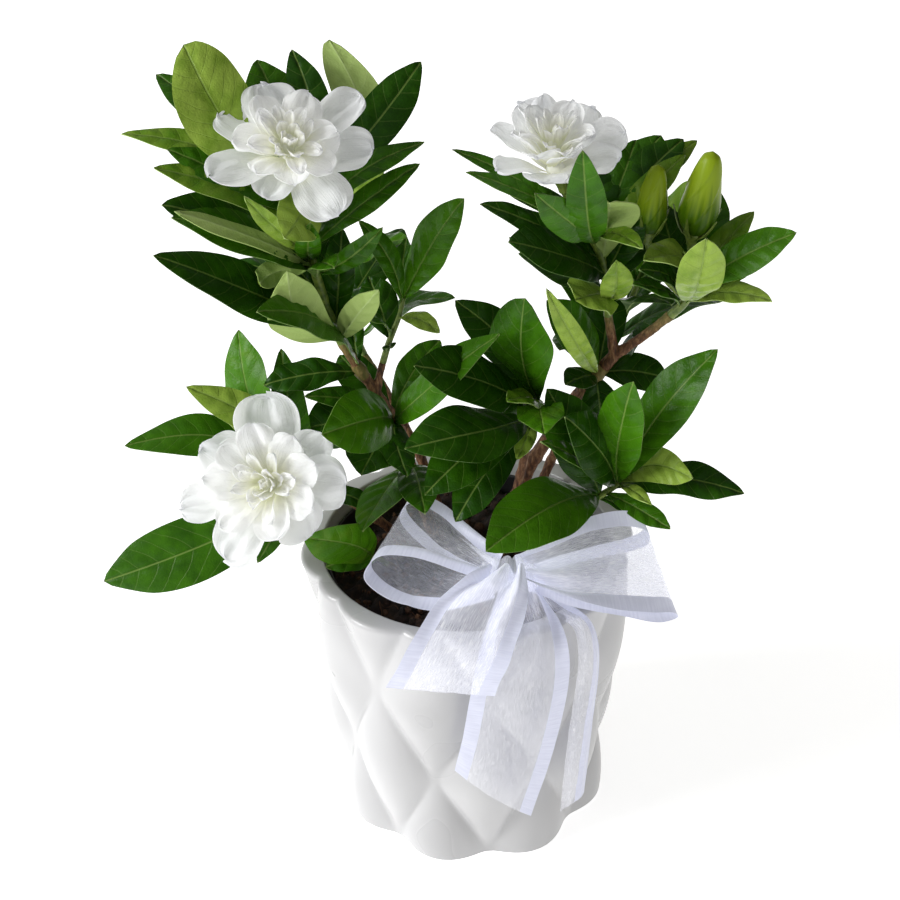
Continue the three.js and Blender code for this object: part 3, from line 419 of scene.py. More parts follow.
def petalTissue():
    # thick velvety petals: white, cream where they crowd at the heart, yellow-green at their claws
    material, tree, shader = newMaterial("gardenia petal")
    place = addNode(tree, "ShaderNodeTexCoord").outputs["Object"]
    blade = addNode(tree, "ShaderNodeUVMap", uv_map="UVMap")
    parts = addNode(tree, "ShaderNodeSeparateXYZ", {}, {0: blade.outputs["UV"]})
    tone = addNode(tree, "ShaderNodeAttribute", attribute_name="tone")
    deep = addNode(tree, "ShaderNodeMath", {1: 0.42}, {0: tone.outputs["Fac"], 2: parts.outputs["X"]},
                   operation="MULTIPLY_ADD")
    near = addNode(tree, "ShaderNodeMath", {1: 1.02}, {0: tone.outputs["Fac"]}, operation="MULTIPLY")
    shareOut = addNode(tree, "ShaderNodeMath", {}, {0: deep.outputs[0], 1: near.outputs[0]},
                       operation="SUBTRACT", use_clamp=True)
    shade = addNode(tree, "ShaderNodeValToRGB", {}, {"Fac": shareOut.outputs[0]},
                    [(0.0, "#dfe2a6"), (0.2, "#f0f0d6"), (0.5, "#f7f8f4"), (1.0, "#f7f9fc")])
    drawnOut = addNode(tree, "ShaderNodeMapping", {"Scale": (2.5, 15, 1)}, {"Vector": blade.outputs["UV"]})
    ribs = addNode(tree, "ShaderNodeTexNoise", {"Scale": 1, "Detail": 4, "Roughness": 0.6},
                   {"Vector": drawnOut.outputs["Vector"]})
    grain = addNode(tree, "ShaderNodeTexNoise", {"Scale": 1 / (2.5 * mm), "Detail": 4}, {"Vector": place})
    height = addNode(tree, "ShaderNodeMath", {1: 1.4}, {0: ribs.outputs["Fac"], 2: grain.outputs["Fac"]},
                     operation="MULTIPLY_ADD")
    bump = addNode(tree, "ShaderNodeBump", {"Strength": 0.8, "Distance": 0.35 * mm},
                   {"Height": height.outputs[0]})
    tree.links.new(shade.outputs["Color"], shader.inputs["Base Color"])
    tree.links.new(bump.outputs["Normal"], shader.inputs["Normal"])
    shader.inputs["Roughness"].default_value = 0.5
    shader.inputs["Specular IOR Level"].default_value = 0.3
    shader.inputs["Subsurface Weight"].default_value = 0.6
    shader.inputs["Subsurface Radius"].default_value = (4 * mm, 4 * mm, 3.8 * mm)
    shader.inputs["Subsurface Scale"].default_value = 1
    shader.inputs["Emission Color"].default_value = linear("#f8faff")
    shader.inputs["Emission Strength"].default_value = 0.09  # painted glow: the petals give off a faint light of their own, which lifts their shade as light passing from petal to petal would
    shader.inputs["Sheen Weight"].default_value = 0.15
    return material


def furledBudSkin():
    # waxy furled petals: green at the base, yellow streaks towards the tip
    material, tree, shader = newMaterial("furled bud")
    blade = addNode(tree, "ShaderNodeUVMap", uv_map="UVMap")
    stretched = addNode(tree, "ShaderNodeMapping", {"Scale": (26, 1.6, 1)}, {"Vector": blade.outputs["UV"]})
    streak = addNode(tree, "ShaderNodeTexNoise", {"Scale": 1, "Detail": 3},
                     {"Vector": stretched.outputs["Vector"]})
    parts = addNode(tree, "ShaderNodeSeparateXYZ", {}, {0: blade.outputs["UV"]})
    mixed = addNode(tree, "ShaderNodeMath", {1: 0.7}, {0: streak.outputs["Fac"], 2: parts.outputs["Y"]},
                    operation="MULTIPLY_ADD")
    shade = addNode(tree, "ShaderNodeValToRGB", {}, {"Fac": mixed.outputs[0]},
                    [(0.3, "#2a4a06"), (0.65, "#4c7006"), (1.0, "#8fa81c")])
    tree.links.new(shade.outputs["Color"], shader.inputs["Base Color"])
    shader.inputs["Roughness"].default_value = 0.34
    shader.inputs["Specular IOR Level"].default_value = 0.2
    shader.inputs["Subsurface Weight"].default_value = 0.06
    shader.inputs["Subsurface Radius"].default_value = (1.2 * mm, 1.6 * mm, 0.4 * mm)
    shader.inputs["Subsurface Scale"].default_value = 1
    return material


def organza():
    # sheer nylon weave, closer where the cloth is gathered, with painted glints drawn out along it and a
    # painted glow
    material, tree, shader = newMaterial("white organza")
    cloth = addNode(tree, "ShaderNodeUVMap", uv_map="cloth")
    weft = addNode(tree, "ShaderNodeMapping", {"Scale": (1 / (0.5 * mm), 1 / (5 * mm), 1)},
                   {"Vector": cloth.outputs["UV"]})
    weaveAndPaintedGlints = addNode(tree, "ShaderNodeTexNoise", {"Scale": 1, "Detail": 3, "Roughness": 0.6},
                      {"Vector": weft.outputs["Vector"]})
    # painted glints: the weave turns whiter and closer in drawn-out streaks, partly the real weave and
    # partly painted highlights
    shade = addNode(tree, "ShaderNodeValToRGB", {}, {"Fac": weaveAndPaintedGlints.outputs["Fac"]},
                    [(0.5, "#eceefa"), (0.7, "#ffffff")])
    tone = addNode(tree, "ShaderNodeAttribute", attribute_name="tone")
    weave = addNode(tree, "ShaderNodeMapRange",
                    {"From Min": 0.4, "From Max": 0.7, "To Min": 0.12, "To Max": 0.26},
                    {"Value": weaveAndPaintedGlints.outputs["Fac"]})
    cover = addNode(tree, "ShaderNodeMath", {}, {0: weave.outputs["Result"], 1: tone.outputs["Fac"]},
                    operation="ADD", use_clamp=True)
    bump = addNode(tree, "ShaderNodeBump", {"Strength": 0.25, "Distance": 0.3 * mm},
                   {"Height": weaveAndPaintedGlints.outputs["Fac"]})
    tree.links.new(shade.outputs["Color"], shader.inputs["Base Color"])
    tree.links.new(cover.outputs[0], shader.inputs["Alpha"])
    tree.links.new(bump.outputs["Normal"], shader.inputs["Normal"])
    shader.inputs["Roughness"].default_value = 0.3
    shader.inputs["Sheen Weight"].default_value = 0.5
    shader.inputs["Emission Color"].default_value = linear("#eef0ff")
    shader.inputs["Emission Strength"].default_value = 0.24  # painted glow: the cloth gives off light of its own, brightening it as light from behind through the weave would
    return material


def satinEdge():
    # the woven satin borders: nearly opaque, smooth and faintly lilac
    material, tree, shader = newMaterial("satin ribbon edge")
    cloth = addNode(tree, "ShaderNodeUVMap", uv_map="cloth")
    weft = addNode(tree, "ShaderNodeMapping", {"Scale": (1 / (12 * mm), 1 / (0.9 * mm), 1)},
                   {"Vector": cloth.outputs["UV"]})
    rib = addNode(tree, "ShaderNodeTexNoise", {"Scale": 1, "Detail": 2}, {"Vector": weft.outputs["Vector"]})
    shade = addNode(tree, "ShaderNodeValToRGB", {}, {"Fac": rib.outputs["Fac"]},
                    [(0.3, "#bfc2d5"), (0.7, "#cfd2e2")])
    bump = addNode(tree, "ShaderNodeBump", {"Strength": 0.2, "Distance": 0.1 * mm},
                   {"Height": rib.outputs["Fac"]})
    tree.links.new(shade.outputs["Color"], shader.inputs["Base Color"])
    tree.links.new(bump.outputs["Normal"], shader.inputs["Normal"])
    shader.inputs["Alpha"].default_value = 0.84
    # painted glow: the satin gives off light of its own, which lifts its shaded side
    shader.inputs["Emission Color"].default_value = linear("#eef0ff")
    shader.inputs["Emission Strength"].default_value = 0.21
    shader.inputs["Roughness"].default_value = 0.32
    shader.inputs["Sheen Weight"].default_value = 0.3
    return material


upperShades = [(0.0, "#1e4404"), (0.3, "#38680a"), (0.55, "#467a0e"), (0.8, "#668822"), (1.0, "#90ac44")]
underShades = [(0.0, "#3c5a20"), (0.5, "#6c8c3c"), (1.0, "#a4bc6a")]
leafFace = {
    "midrib": 0.5,
    "sideVeins": 0.15,
    "veinShade": "#86a050",
    "raise": -4.0,         # veins sink into the face and stand out on the back
    "roughness": 0.32,
    "specular": 0.1,
    "wax": 0.16,
}
leafUnderside = {
    "midrib": 0.6,
    "sideVeins": 0.22,
    "veinShade": "#b3c684",
    "raise": 1.2,
    "roughness": 0.6,
    "specular": 0.3,
    "wax": 0.0,
}
skins = {
    "glaze": glazedEarthenware(),
    "plastic": mouldedPolypropylene(),
    "soil": pottingMix(),
    "bark": gardeniaBark(),
    "twig": greenTwig(),
    "leafTop": leafSkin("glossy leaf face", upperShades, leafFace),
    "leafBack": leafSkin("matt leaf back", underShades, leafUnderside),
    "petal": petalTissue(),
    "bud": furledBudSkin(),
    "organza": organza(),
    "satin": satinEdge(),
}
print("materials ready")


# Pot: eight quilted diamonds round, with creases between them

potShape = {
    "height": 142,
    "creaseRadii": (57.5, 72),
    "bulges": (7.5, 6),
    "creaseAngle": 231.5,
    "creaseRows": (2, 50, 98, 162),
    "diamonds": 8,
    "cells": 24,          # squares to half a diamond, each way
    "innerRadii": (50.5, 66),
    "floor": 6,
    "creaseSoftness": 0.03,
    "rimRound": 2.5,
    "lipRound": 1.2,
    "footChamfer": 1.6,
    "footRecess": 1.2,
    "footRing": (14, 12),  # how far in from the side the recess is level, and where it starts to rise
}


def quilting(angle, z, shape):
    # 0 on the creases, 1 in the middle of a diamond
    across = (angle - math.radians(shape["creaseAngle"])) / (2 * math.pi / shape["diamonds"])
    upward = np.interp(z, shape["creaseRows"], range(len(shape["creaseRows"])))
    rising = np.sin(math.pi * (across + upward / 2))
    falling = np.sin(math.pi * (across - upward / 2))
    soft = shape["creaseSoftness"]
    return ((rising * falling) ** 2 + soft ** 2) ** 0.3 - soft ** 0.6


def makePot(shape):
    height = shape["height"]
    rimRound = shape["rimRound"]
    lipRound = shape["lipRound"]
    recess = shape["footRecess"]

    def crease(z):
        return float(np.interp(z, (0, height), shape["creaseRadii"]))

    def inner(z):
        return float(np.interp(z, (shape["floor"], height), shape["innerRadii"]))

    rows = np.arange(0, len(shape["creaseRows"]) - 1, 1 / shape["cells"])
    heights = np.interp(rows, range(len(shape["creaseRows"])), shape["creaseRows"])
    heights = [0, 0.7, *(z for z in heights if z < height - 2.6)]
    side = [(crease(z) - (shape["footChamfer"] if z == 0 else 0), z) for z in heights]
    rim = [(crease(height) - rimRound + rimRound * math.cos(a), height - rimRound + rimRound * math.sin(a))
           for a in np.linspace(0, math.pi / 2, 7)]
    lip = [(inner(height) + lipRound - lipRound * math.sin(a), height - lipRound + lipRound * math.cos(a))
           for a in np.linspace(0, math.pi / 2, 5)]
    wall = [(inner(z), z) for z in np.linspace(height - 4, shape["floor"] + 3, 12)]
    base = [(inner(shape["floor"]) - 3, shape["floor"]), (0, shape["floor"])]
    recessEnd, ringStart = (crease(0) - inward for inward in shape["footRing"])
    foot = [(0, recess), (recessEnd, recess), (ringStart, 0)]
    outline = [*foot, *side, *rim, *lip, *wall, *base]
    pot = spun("quilted_pot", outline, shape["diamonds"] * 2 * shape["cells"], shape["creaseAngle"])
    place = points(pot.data) / mm
    radius = np.hypot(place[:, 0], place[:, 1])
    bulge = np.interp(place[:, 2], (0, height), shape["bulges"])
    bulge *= quilting(np.arctan2(place[:, 1], place[:, 0]), place[:, 2], shape)
    outside = eased(radius - np.interp(place[:, 2], (0, height), shape["creaseRadii"]), -3.5, -1.5)
    place[:, :2] *= (1 + outside * bulge / np.maximum(radius, 1))[:, None]
    movePoints(pot.data, place)
    smooth(pot, 50)
    pot.data.materials.append(skins["glaze"])
    standIn(pot, ["pot"])


makePot(potShape)


growPotShape = {"floor": 6.35, "top": 136, "radii": (49, 64.5), "wall": 1.2, "bead": 0.8, "belly": 60}


def makeGrowPot(shape):
    floor, top, wall = shape["floor"], shape["top"], shape["wall"]
    belly, beadRound = shape["belly"], shape["bead"]
    low, high = shape["radii"]

    def outer(z):
        return float(np.interp(z, (floor, top), (low, high)))

    bead = [(high - beadRound + beadRound * math.cos(a), top - beadRound + beadRound * math.sin(a))
            for a in np.linspace(-0.6, 3.2, 9)]
    neck = top - 3
    outline = [(0, floor), (low - 2, floor), (low, floor + 2), (outer(belly), belly), (outer(neck), neck)]
    outline += [*bead, (outer(neck) - wall, neck), (outer(floor + 3) - wall, floor + 3)]
    outline += [(low - 3, floor + wall), (0, floor + wall)]
    growPot = spun("nursery_pot", outline, 128)
    smooth(growPot, 50)
    growPot.data.materials.append(skins["plastic"])
    standIn(growPot, ["grow_pot"])


makeGrowPot(growPotShape)
print("pots done")


# Soil: the CAD's soft lumps, then clods, crumbs and root fibres on top

soilShape = {
    "top": 127,
    "bottom": 8.2,
    "radii": (47.2, 61.5),
    "cells": (54, 220),    # rings from edge to middle, and steps round
    "lumps": 1.6,
    "clods": 1.5,
    "clodSize": 5,
    "crumbs": 420,
    "crumbSizes": (0.7, 2.3),
    "fibres": 90,
    "fibreRadius": 0.22,
    "edge": 3,             # how far crumbs and fibres keep from the soil's own edge
    "seed": 5,
}


def soilHeight(x, y, shape):
    lumps = math.sin(0.31 * x + 0.9) * math.cos(0.27 * y) + 0.6 * math.sin(0.63 * x - 0.55 * y)
    rough = noise.fractal(Vector((x / shape["clodSize"], y / shape["clodSize"], 0.3)), 0.9, 2.1, 5)
    return shape["top"] + shape["lumps"] * lumps + shape["clods"] * rough


def makeSoil(shape):
    draw = random.Random(shape["seed"])
    low, high = shape["radii"]
    edge = shape["edge"]
    ringCount, steps = shape["cells"]
    rings = [(high * share, shape["top"]) for share in np.linspace(1, 0, ringCount)]
    soil = spun("potting_mix", [(0, shape["bottom"]), (low, shape["bottom"]), *rings], steps)
    place = points(soil.data) / mm
    for point in place:
        if point[2] > shape["top"] - 1:
            point[2] = soilHeight(point[0], point[1], shape)
    movePoints(soil.data, place)
    setTone(soil.data, 0)
    pieces = [soil]
    deselectAll()
    bpy.ops.mesh.primitive_uv_sphere_add(segments=8, ring_count=5, radius=1)
    clod = bpy.context.object
    for i in range(shape["crumbs"]):
        reach = (high - edge) * math.sqrt(draw.random())
        turn = draw.uniform(0, 2 * math.pi)
        centre = np.array((reach * math.cos(turn), reach * math.sin(turn), 0))
        size = draw.uniform(*shape["crumbSizes"])
        centre[2] = soilHeight(centre[0], centre[1], shape) + 0.2 * size
        stretch = np.array([draw.uniform(0.6, 1.3) for k in range(3)])
        crumb = copyOf(clod, f"crumb_{i}")
        form = points(crumb.data)
        knobs = np.array([1 + 0.4 * noise.noise(Vector(p) * 1.3 + Vector((i, 0, 0))) for p in form])
        movePoints(crumb.data, centre + form * knobs[:, None] * stretch * size)
        setTone(crumb.data, draw.uniform(-0.1, 0.3))
        pieces.append(crumb)
    bpy.data.objects.remove(clod)
    for i in range(shape["fibres"]):
        reach = (high - 2 * edge) * math.sqrt(draw.random())
        turn = draw.uniform(0, 2 * math.pi)
        start = np.array((reach * math.cos(turn), reach * math.sin(turn)))
        heading = draw.uniform(0, 2 * math.pi)
        route = []
        for step in range(5):
            heading += draw.uniform(-0.8, 0.8)
            lift = 1.2 * math.sin(math.pi * step / 4) * draw.random()
            route.append((*start, soilHeight(start[0], start[1], shape) + 0.1 + lift))
            start = start + draw.uniform(1.5, 3) * np.array((math.cos(heading), math.sin(heading)))
            start *= min(1, (high - edge) / np.linalg.norm(start))
        fibre = tube(alongRoute(route, np.linspace(0, 1, 9)), [shape["fibreRadius"]] * 9, 0)
        setTone(fibre.data, draw.uniform(0.15, 0.45))
        pieces.append(fibre)
    whole = joined("potting_mix", pieces)
    smooth(whole, 50)
    whole.data.materials.clear()
    whole.data.materials.append(skins["soil"])
    standIn(whole, ["soil"])


makeSoil(soilShape)
print("soil done")


# Woody stems, each from inside the soil up to where the green growth takes over

leftFork = (-38, 10, 214)
rightFork = (65, 8, 232)
budFork = (88, 3, 254)

trunkLeft = [(-12, 26, 96), (-17, 24, 131), (-24, 14, 166), (-29, 12, 194), leftFork,
             (-46, 8, 230), (-52, 6, 243)]
sideLeft = [leftFork, (-37, 11, 222), (-35, 12, 229)]
trunkRight = [(14, 24, 96), (20, 21, 136), (28, 16, 168), (34, 14, 181), (48, 12, 207), rightFork]
upRight = [rightFork, (64, 8, 241), (62, 8, 252)]
budRight = [rightFork, (77, 5, 243), budFork]
trunkCentre = [(12, 4, 96), (16, 2, 136), (25, -2, 182), (28, -3, 202)]
lowLeft = [(-26, 18, 96), (-32, 15, 132), (-43, 8, 150), (-53, 2, 163), (-62, -2, 170)]
lowRight = [(28, 10, 96), (34, 6, 132), (44, -2, 154), (55, -8, 167)]
frontLeft = [(-30, 0, 104), (-32, -2, 126), (-37, -7, 134)]
backLeft = [(-8, 36, 100), (-18, 46, 146), (-36, 54, 188), (-46, 56, 208)]
backRight = [(22, 34, 100), (38, 44, 148), (58, 52, 190), (66, 54, 206)]

woodyStems = {  # each run is a route, its radius at the foot and at the tip
    "stem_left": [(trunkLeft, 3.2, 2.2), (sideLeft, 1.8, 1.6)],
    "stem_right": [(trunkRight, 3.8, 2.8), (upRight, 2.1, 1.9), (budRight, 2.2, 2)],
    "stem_centre": [(trunkCentre, 2.3, 1.9)],
    "stem_low_left": [(lowLeft, 2.6, 2)],
    "stem_low_right": [(lowRight, 2.2, 1.8)],
    "stem_front_left": [(frontLeft, 1.6, 1.4)],
    "stem_back_left": [(backLeft, 2.6, 1.9)],
    "stem_back_right": [(backRight, 2.6, 1.9)],
}
barkShape = {
    "jointSpacing": 26,
    "jointStart": 8,
    "jointWidth": 1.6,
    "jointSwelling": 0.16,
    "voxel": 0.45,
    "knobs": 0.22,
    "knobSize": (2.2, 6),  # across the stem and upward
    "greening": 14,        # the length below the tip that turns green
}


def makeWoodyStem(node, runs, shape):
    pieces = []
    for route, foot, tip in runs:
        shares = np.linspace(0, 1, 60)
        centres = alongRoute(route, shares)
        run = np.concatenate(([0], np.cumsum(np.linalg.norm(np.diff(centres, axis=0), axis=1))))
        fromJoint = np.abs((run + shape["jointStart"]) % shape["jointSpacing"] - shape["jointSpacing"] / 2)
        swelling = 1 + shape["jointSwelling"] * np.exp(-(fromJoint / shape["jointWidth"]) ** 2)
        pieces.append(tube(centres, (foot + (tip - foot) * shares) * swelling))
    stem = joined(node + "_wood", pieces)
    applied(stem, "REMESH", mode="VOXEL", voxel_size=shape["voxel"] * mm)
    applied(stem, "SMOOTH", factor=0.5, iterations=4)
    place = points(stem.data) / mm
    normals = np.array([v.normal for v in stem.data.vertices])
    wide, long = shape["knobSize"]
    knobs = [noise.fractal(Vector((p[0] / wide, p[1] / wide, p[2] / long)), 0.8, 2, 3) for p in place]
    movePoints(stem.data, place + normals * (shape["knobs"] * np.array(knobs))[:, None])
    top = place[:, 2].max()
    setTone(stem.data, 0.4 * eased(place[:, 2], top - shape["greening"], top))
    smooth(stem, 60)
    stem.data.materials.clear()
    stem.data.materials.append(skins["bark"])
    standIn(stem, [node])


for node, runs in woodyStems.items():
    makeWoodyStem(node, runs, barkShape)
print("stems done")


# Leaves: modelled once as a flat sheet, then each copy is bent to its place on the shoot

leafStyle = {
    "cells": (38, 12),
    "thickness": 0.4,
    "petiole": 1.5,        # width at the stalk
    "fullness": 1.05,      # the widths in the tables are scaled by this
    "rootPower": (1.02, 0.4),   # the outline of a pointed leaf, and what bluntness adds
    "tipPower": (0.76, -0.3),
    "droop": 0.14,         # how far the margins bend back, as a share of the half width
    "wave": (0.05, 0.17),
    "waveTurns": (9, 17),
    "twist": (-16, 16),
    "tipCurl": (-0.03, 0.05),
    "sway": (-0.05, 0.05),
    "veinSpacing": 7.5,
    "veinSpread": (0.85, 1.15),
    "veinDepth": 0.5,
    "midribDepth": 0.35,
    "midribWidth": 0.9,
    "toneSpread": (-0.07, 0.07),
    "seed": 23,
}
leafSkins = ("leafBack", "leafTop", "twig", "bark")  # the sheet's own side is the leaf's back
# tones by age; bright is a lighter green that is partly a painted sheen, for leaves that catch the light
tones = {"old": 0.02, "full": 0.28, "bright": 0.52, "olive": 0.78, "young": 0.98}
leafDraw = random.Random(leafStyle["seed"])
leafMaster = bladeSheet("leaf_sheet", *leafStyle["cells"])


def shapeLeaf(leaf, root, tip, width, tone, roll=0, arch=0.1, fold=0.16, bend=0, blunt=0.2, light=skyward):
    style = leafStyle
    draw = leafDraw
    flat = points(leaf.data)
    u = (flat[:, 0] + 1) / 2
    v = flat[:, 1]
    reach = np.array(tip, float) - root
    length = np.linalg.norm(reach)
    axis = reach / length
    facing = turnedAbout(unit(light - axis * light.dot(axis)), axis, roll)
    rootPower, tipPower = (low + more * blunt for low, more in (style["rootPower"], style["tipPower"]))
    widest = rootPower / (rootPower + tipPower)
    form = (u / widest) ** rootPower * ((1 - u) / (1 - widest)) ** tipPower
    half = style["fullness"] * width / 2 * form * (1 - 0.3 * (1 - blunt) * eased(u, 0.8, 1))
    half = np.maximum(half, style["petiole"] / 2 * np.clip(1 - 5 * u, 0, 1))
    rise = 4 * arch * length
    curl = draw.uniform(*style["tipCurl"]) * length * eased(u, 0.6, 1.1)
    sway = (draw.uniform(*style["sway"]) * length + bend) * np.sin(math.pi * u)
    spine = root + np.outer(u, reach) + np.outer(rise * u * (1 - u) - curl, facing)
    spine += np.outer(sway, np.cross(axis, facing))
    tangent = unit(reach + np.outer(rise * (1 - 2 * u), facing))
    normal = unit(facing - tangent * (tangent @ facing)[:, None])
    side = np.cross(tangent, normal)
    twist = np.radians(draw.uniform(*style["twist"])) * (u - 0.2)
    cosine, sine = np.cos(twist)[:, None], np.sin(twist)[:, None]
    side, normal = side * cosine + normal * sine, normal * cosine - side * sine
    out = v * half
    edge = np.abs(v)
    phase = np.where(v > 0, draw.uniform(0, 6), draw.uniform(0, 6))
    wave = draw.uniform(*style["wave"]) * half * edge ** 1.7
    wave *= np.sin(draw.uniform(*style["waveTurns"]) * u + phase)
    lift = (fold * edge - style["droop"] * edge ** 2) * half + wave
    bow = 0.55 * np.abs(out) + 0.035 * out ** 2 + 0.5 * np.sin(0.45 * u * length + draw.uniform(0, 6))
    vein = (u * length - bow) / (style["veinSpacing"] * draw.uniform(*style["veinSpread"]))
    lift -= style["veinDepth"] * np.cos(2 * math.pi * vein) * eased(edge, 0, 0.3) * (1 - edge ** 4)
    lift -= style["midribDepth"] * np.exp(-(out / style["midribWidth"]) ** 2)
    movePoints(leaf.data, spine + side * out[:, None] + normal * lift[:, None])
    setTone(leaf.data, min(max(tones[tone] + draw.uniform(*style["toneSpread"]), 0), 1))
    setUV(leaf.data, "UVMap", u, v)
    setUV(leaf.data, "veins", vein, out)


def makeShoot(node, shoot):
    route = shoot["route"]
    leaves = []
    for i, (at, tip, width, tone, *rest) in enumerate(shoot["leaves"]):
        leaf = copyOf(leafMaster, f"{node}_leaf_{i}")
        root = alongRoute(route, [at])[0]
        shapeLeaf(leaf, root, tip, width, tone, **(rest[0] if rest else {}))
        leaves.append(leaf)
    foliage = joined(node + "_foliage", leaves)
    for skin in leafSkins:
        foliage.data.materials.append(skins[skin])
    weld(foliage)
    applied(foliage, "SOLIDIFY", thickness=leafStyle["thickness"] * mm, offset=0, material_offset=1)
    twigs = []
    for twigRoute, radii in [(route, shoot["radii"]), *shoot.get("branches", [])]:
        shares = np.linspace(0, 1, 26)
        radius = np.interp(shares, np.linspace(0, 1, len(radii)), radii)
        twig = tube(alongRoute(twigRoute, shares), radius)
        setTone(twig.data, 0.4)
        for polygon in twig.data.polygons:
            polygon.material_index = 3 if shoot.get("onWood") else 2
        twigs.append(twig)
    for twig in twigs:
        for skin in leafSkins:
            twig.data.materials.append(skins[skin])
    foliage = joined(node + "_foliage", [foliage, *twigs])
    smooth(foliage, 50)
    standIn(foliage, [node])


lowLeftBloom = {"base": (-77, -20, 192), "facing": (-0.18, -0.72, 0.67)}
upperLeftBloom = {"base": (-62, -10, 324), "facing": (0.12, -0.62, 0.78)}
upperRightBloom = {"base": (42, -4, 316), "facing": (0.1, -0.38, 0.92)}
largeBud = {"base": (95, 1, 292), "facing": (6, -2, 38), "width": 16}
smallBud = {"base": (77, 5, 291), "facing": (3, -2, 32), "width": 13}
budForkGreen = (94, 2, 262)

undersideUp = {"roll": 180}
toFront = {"light": frontward}
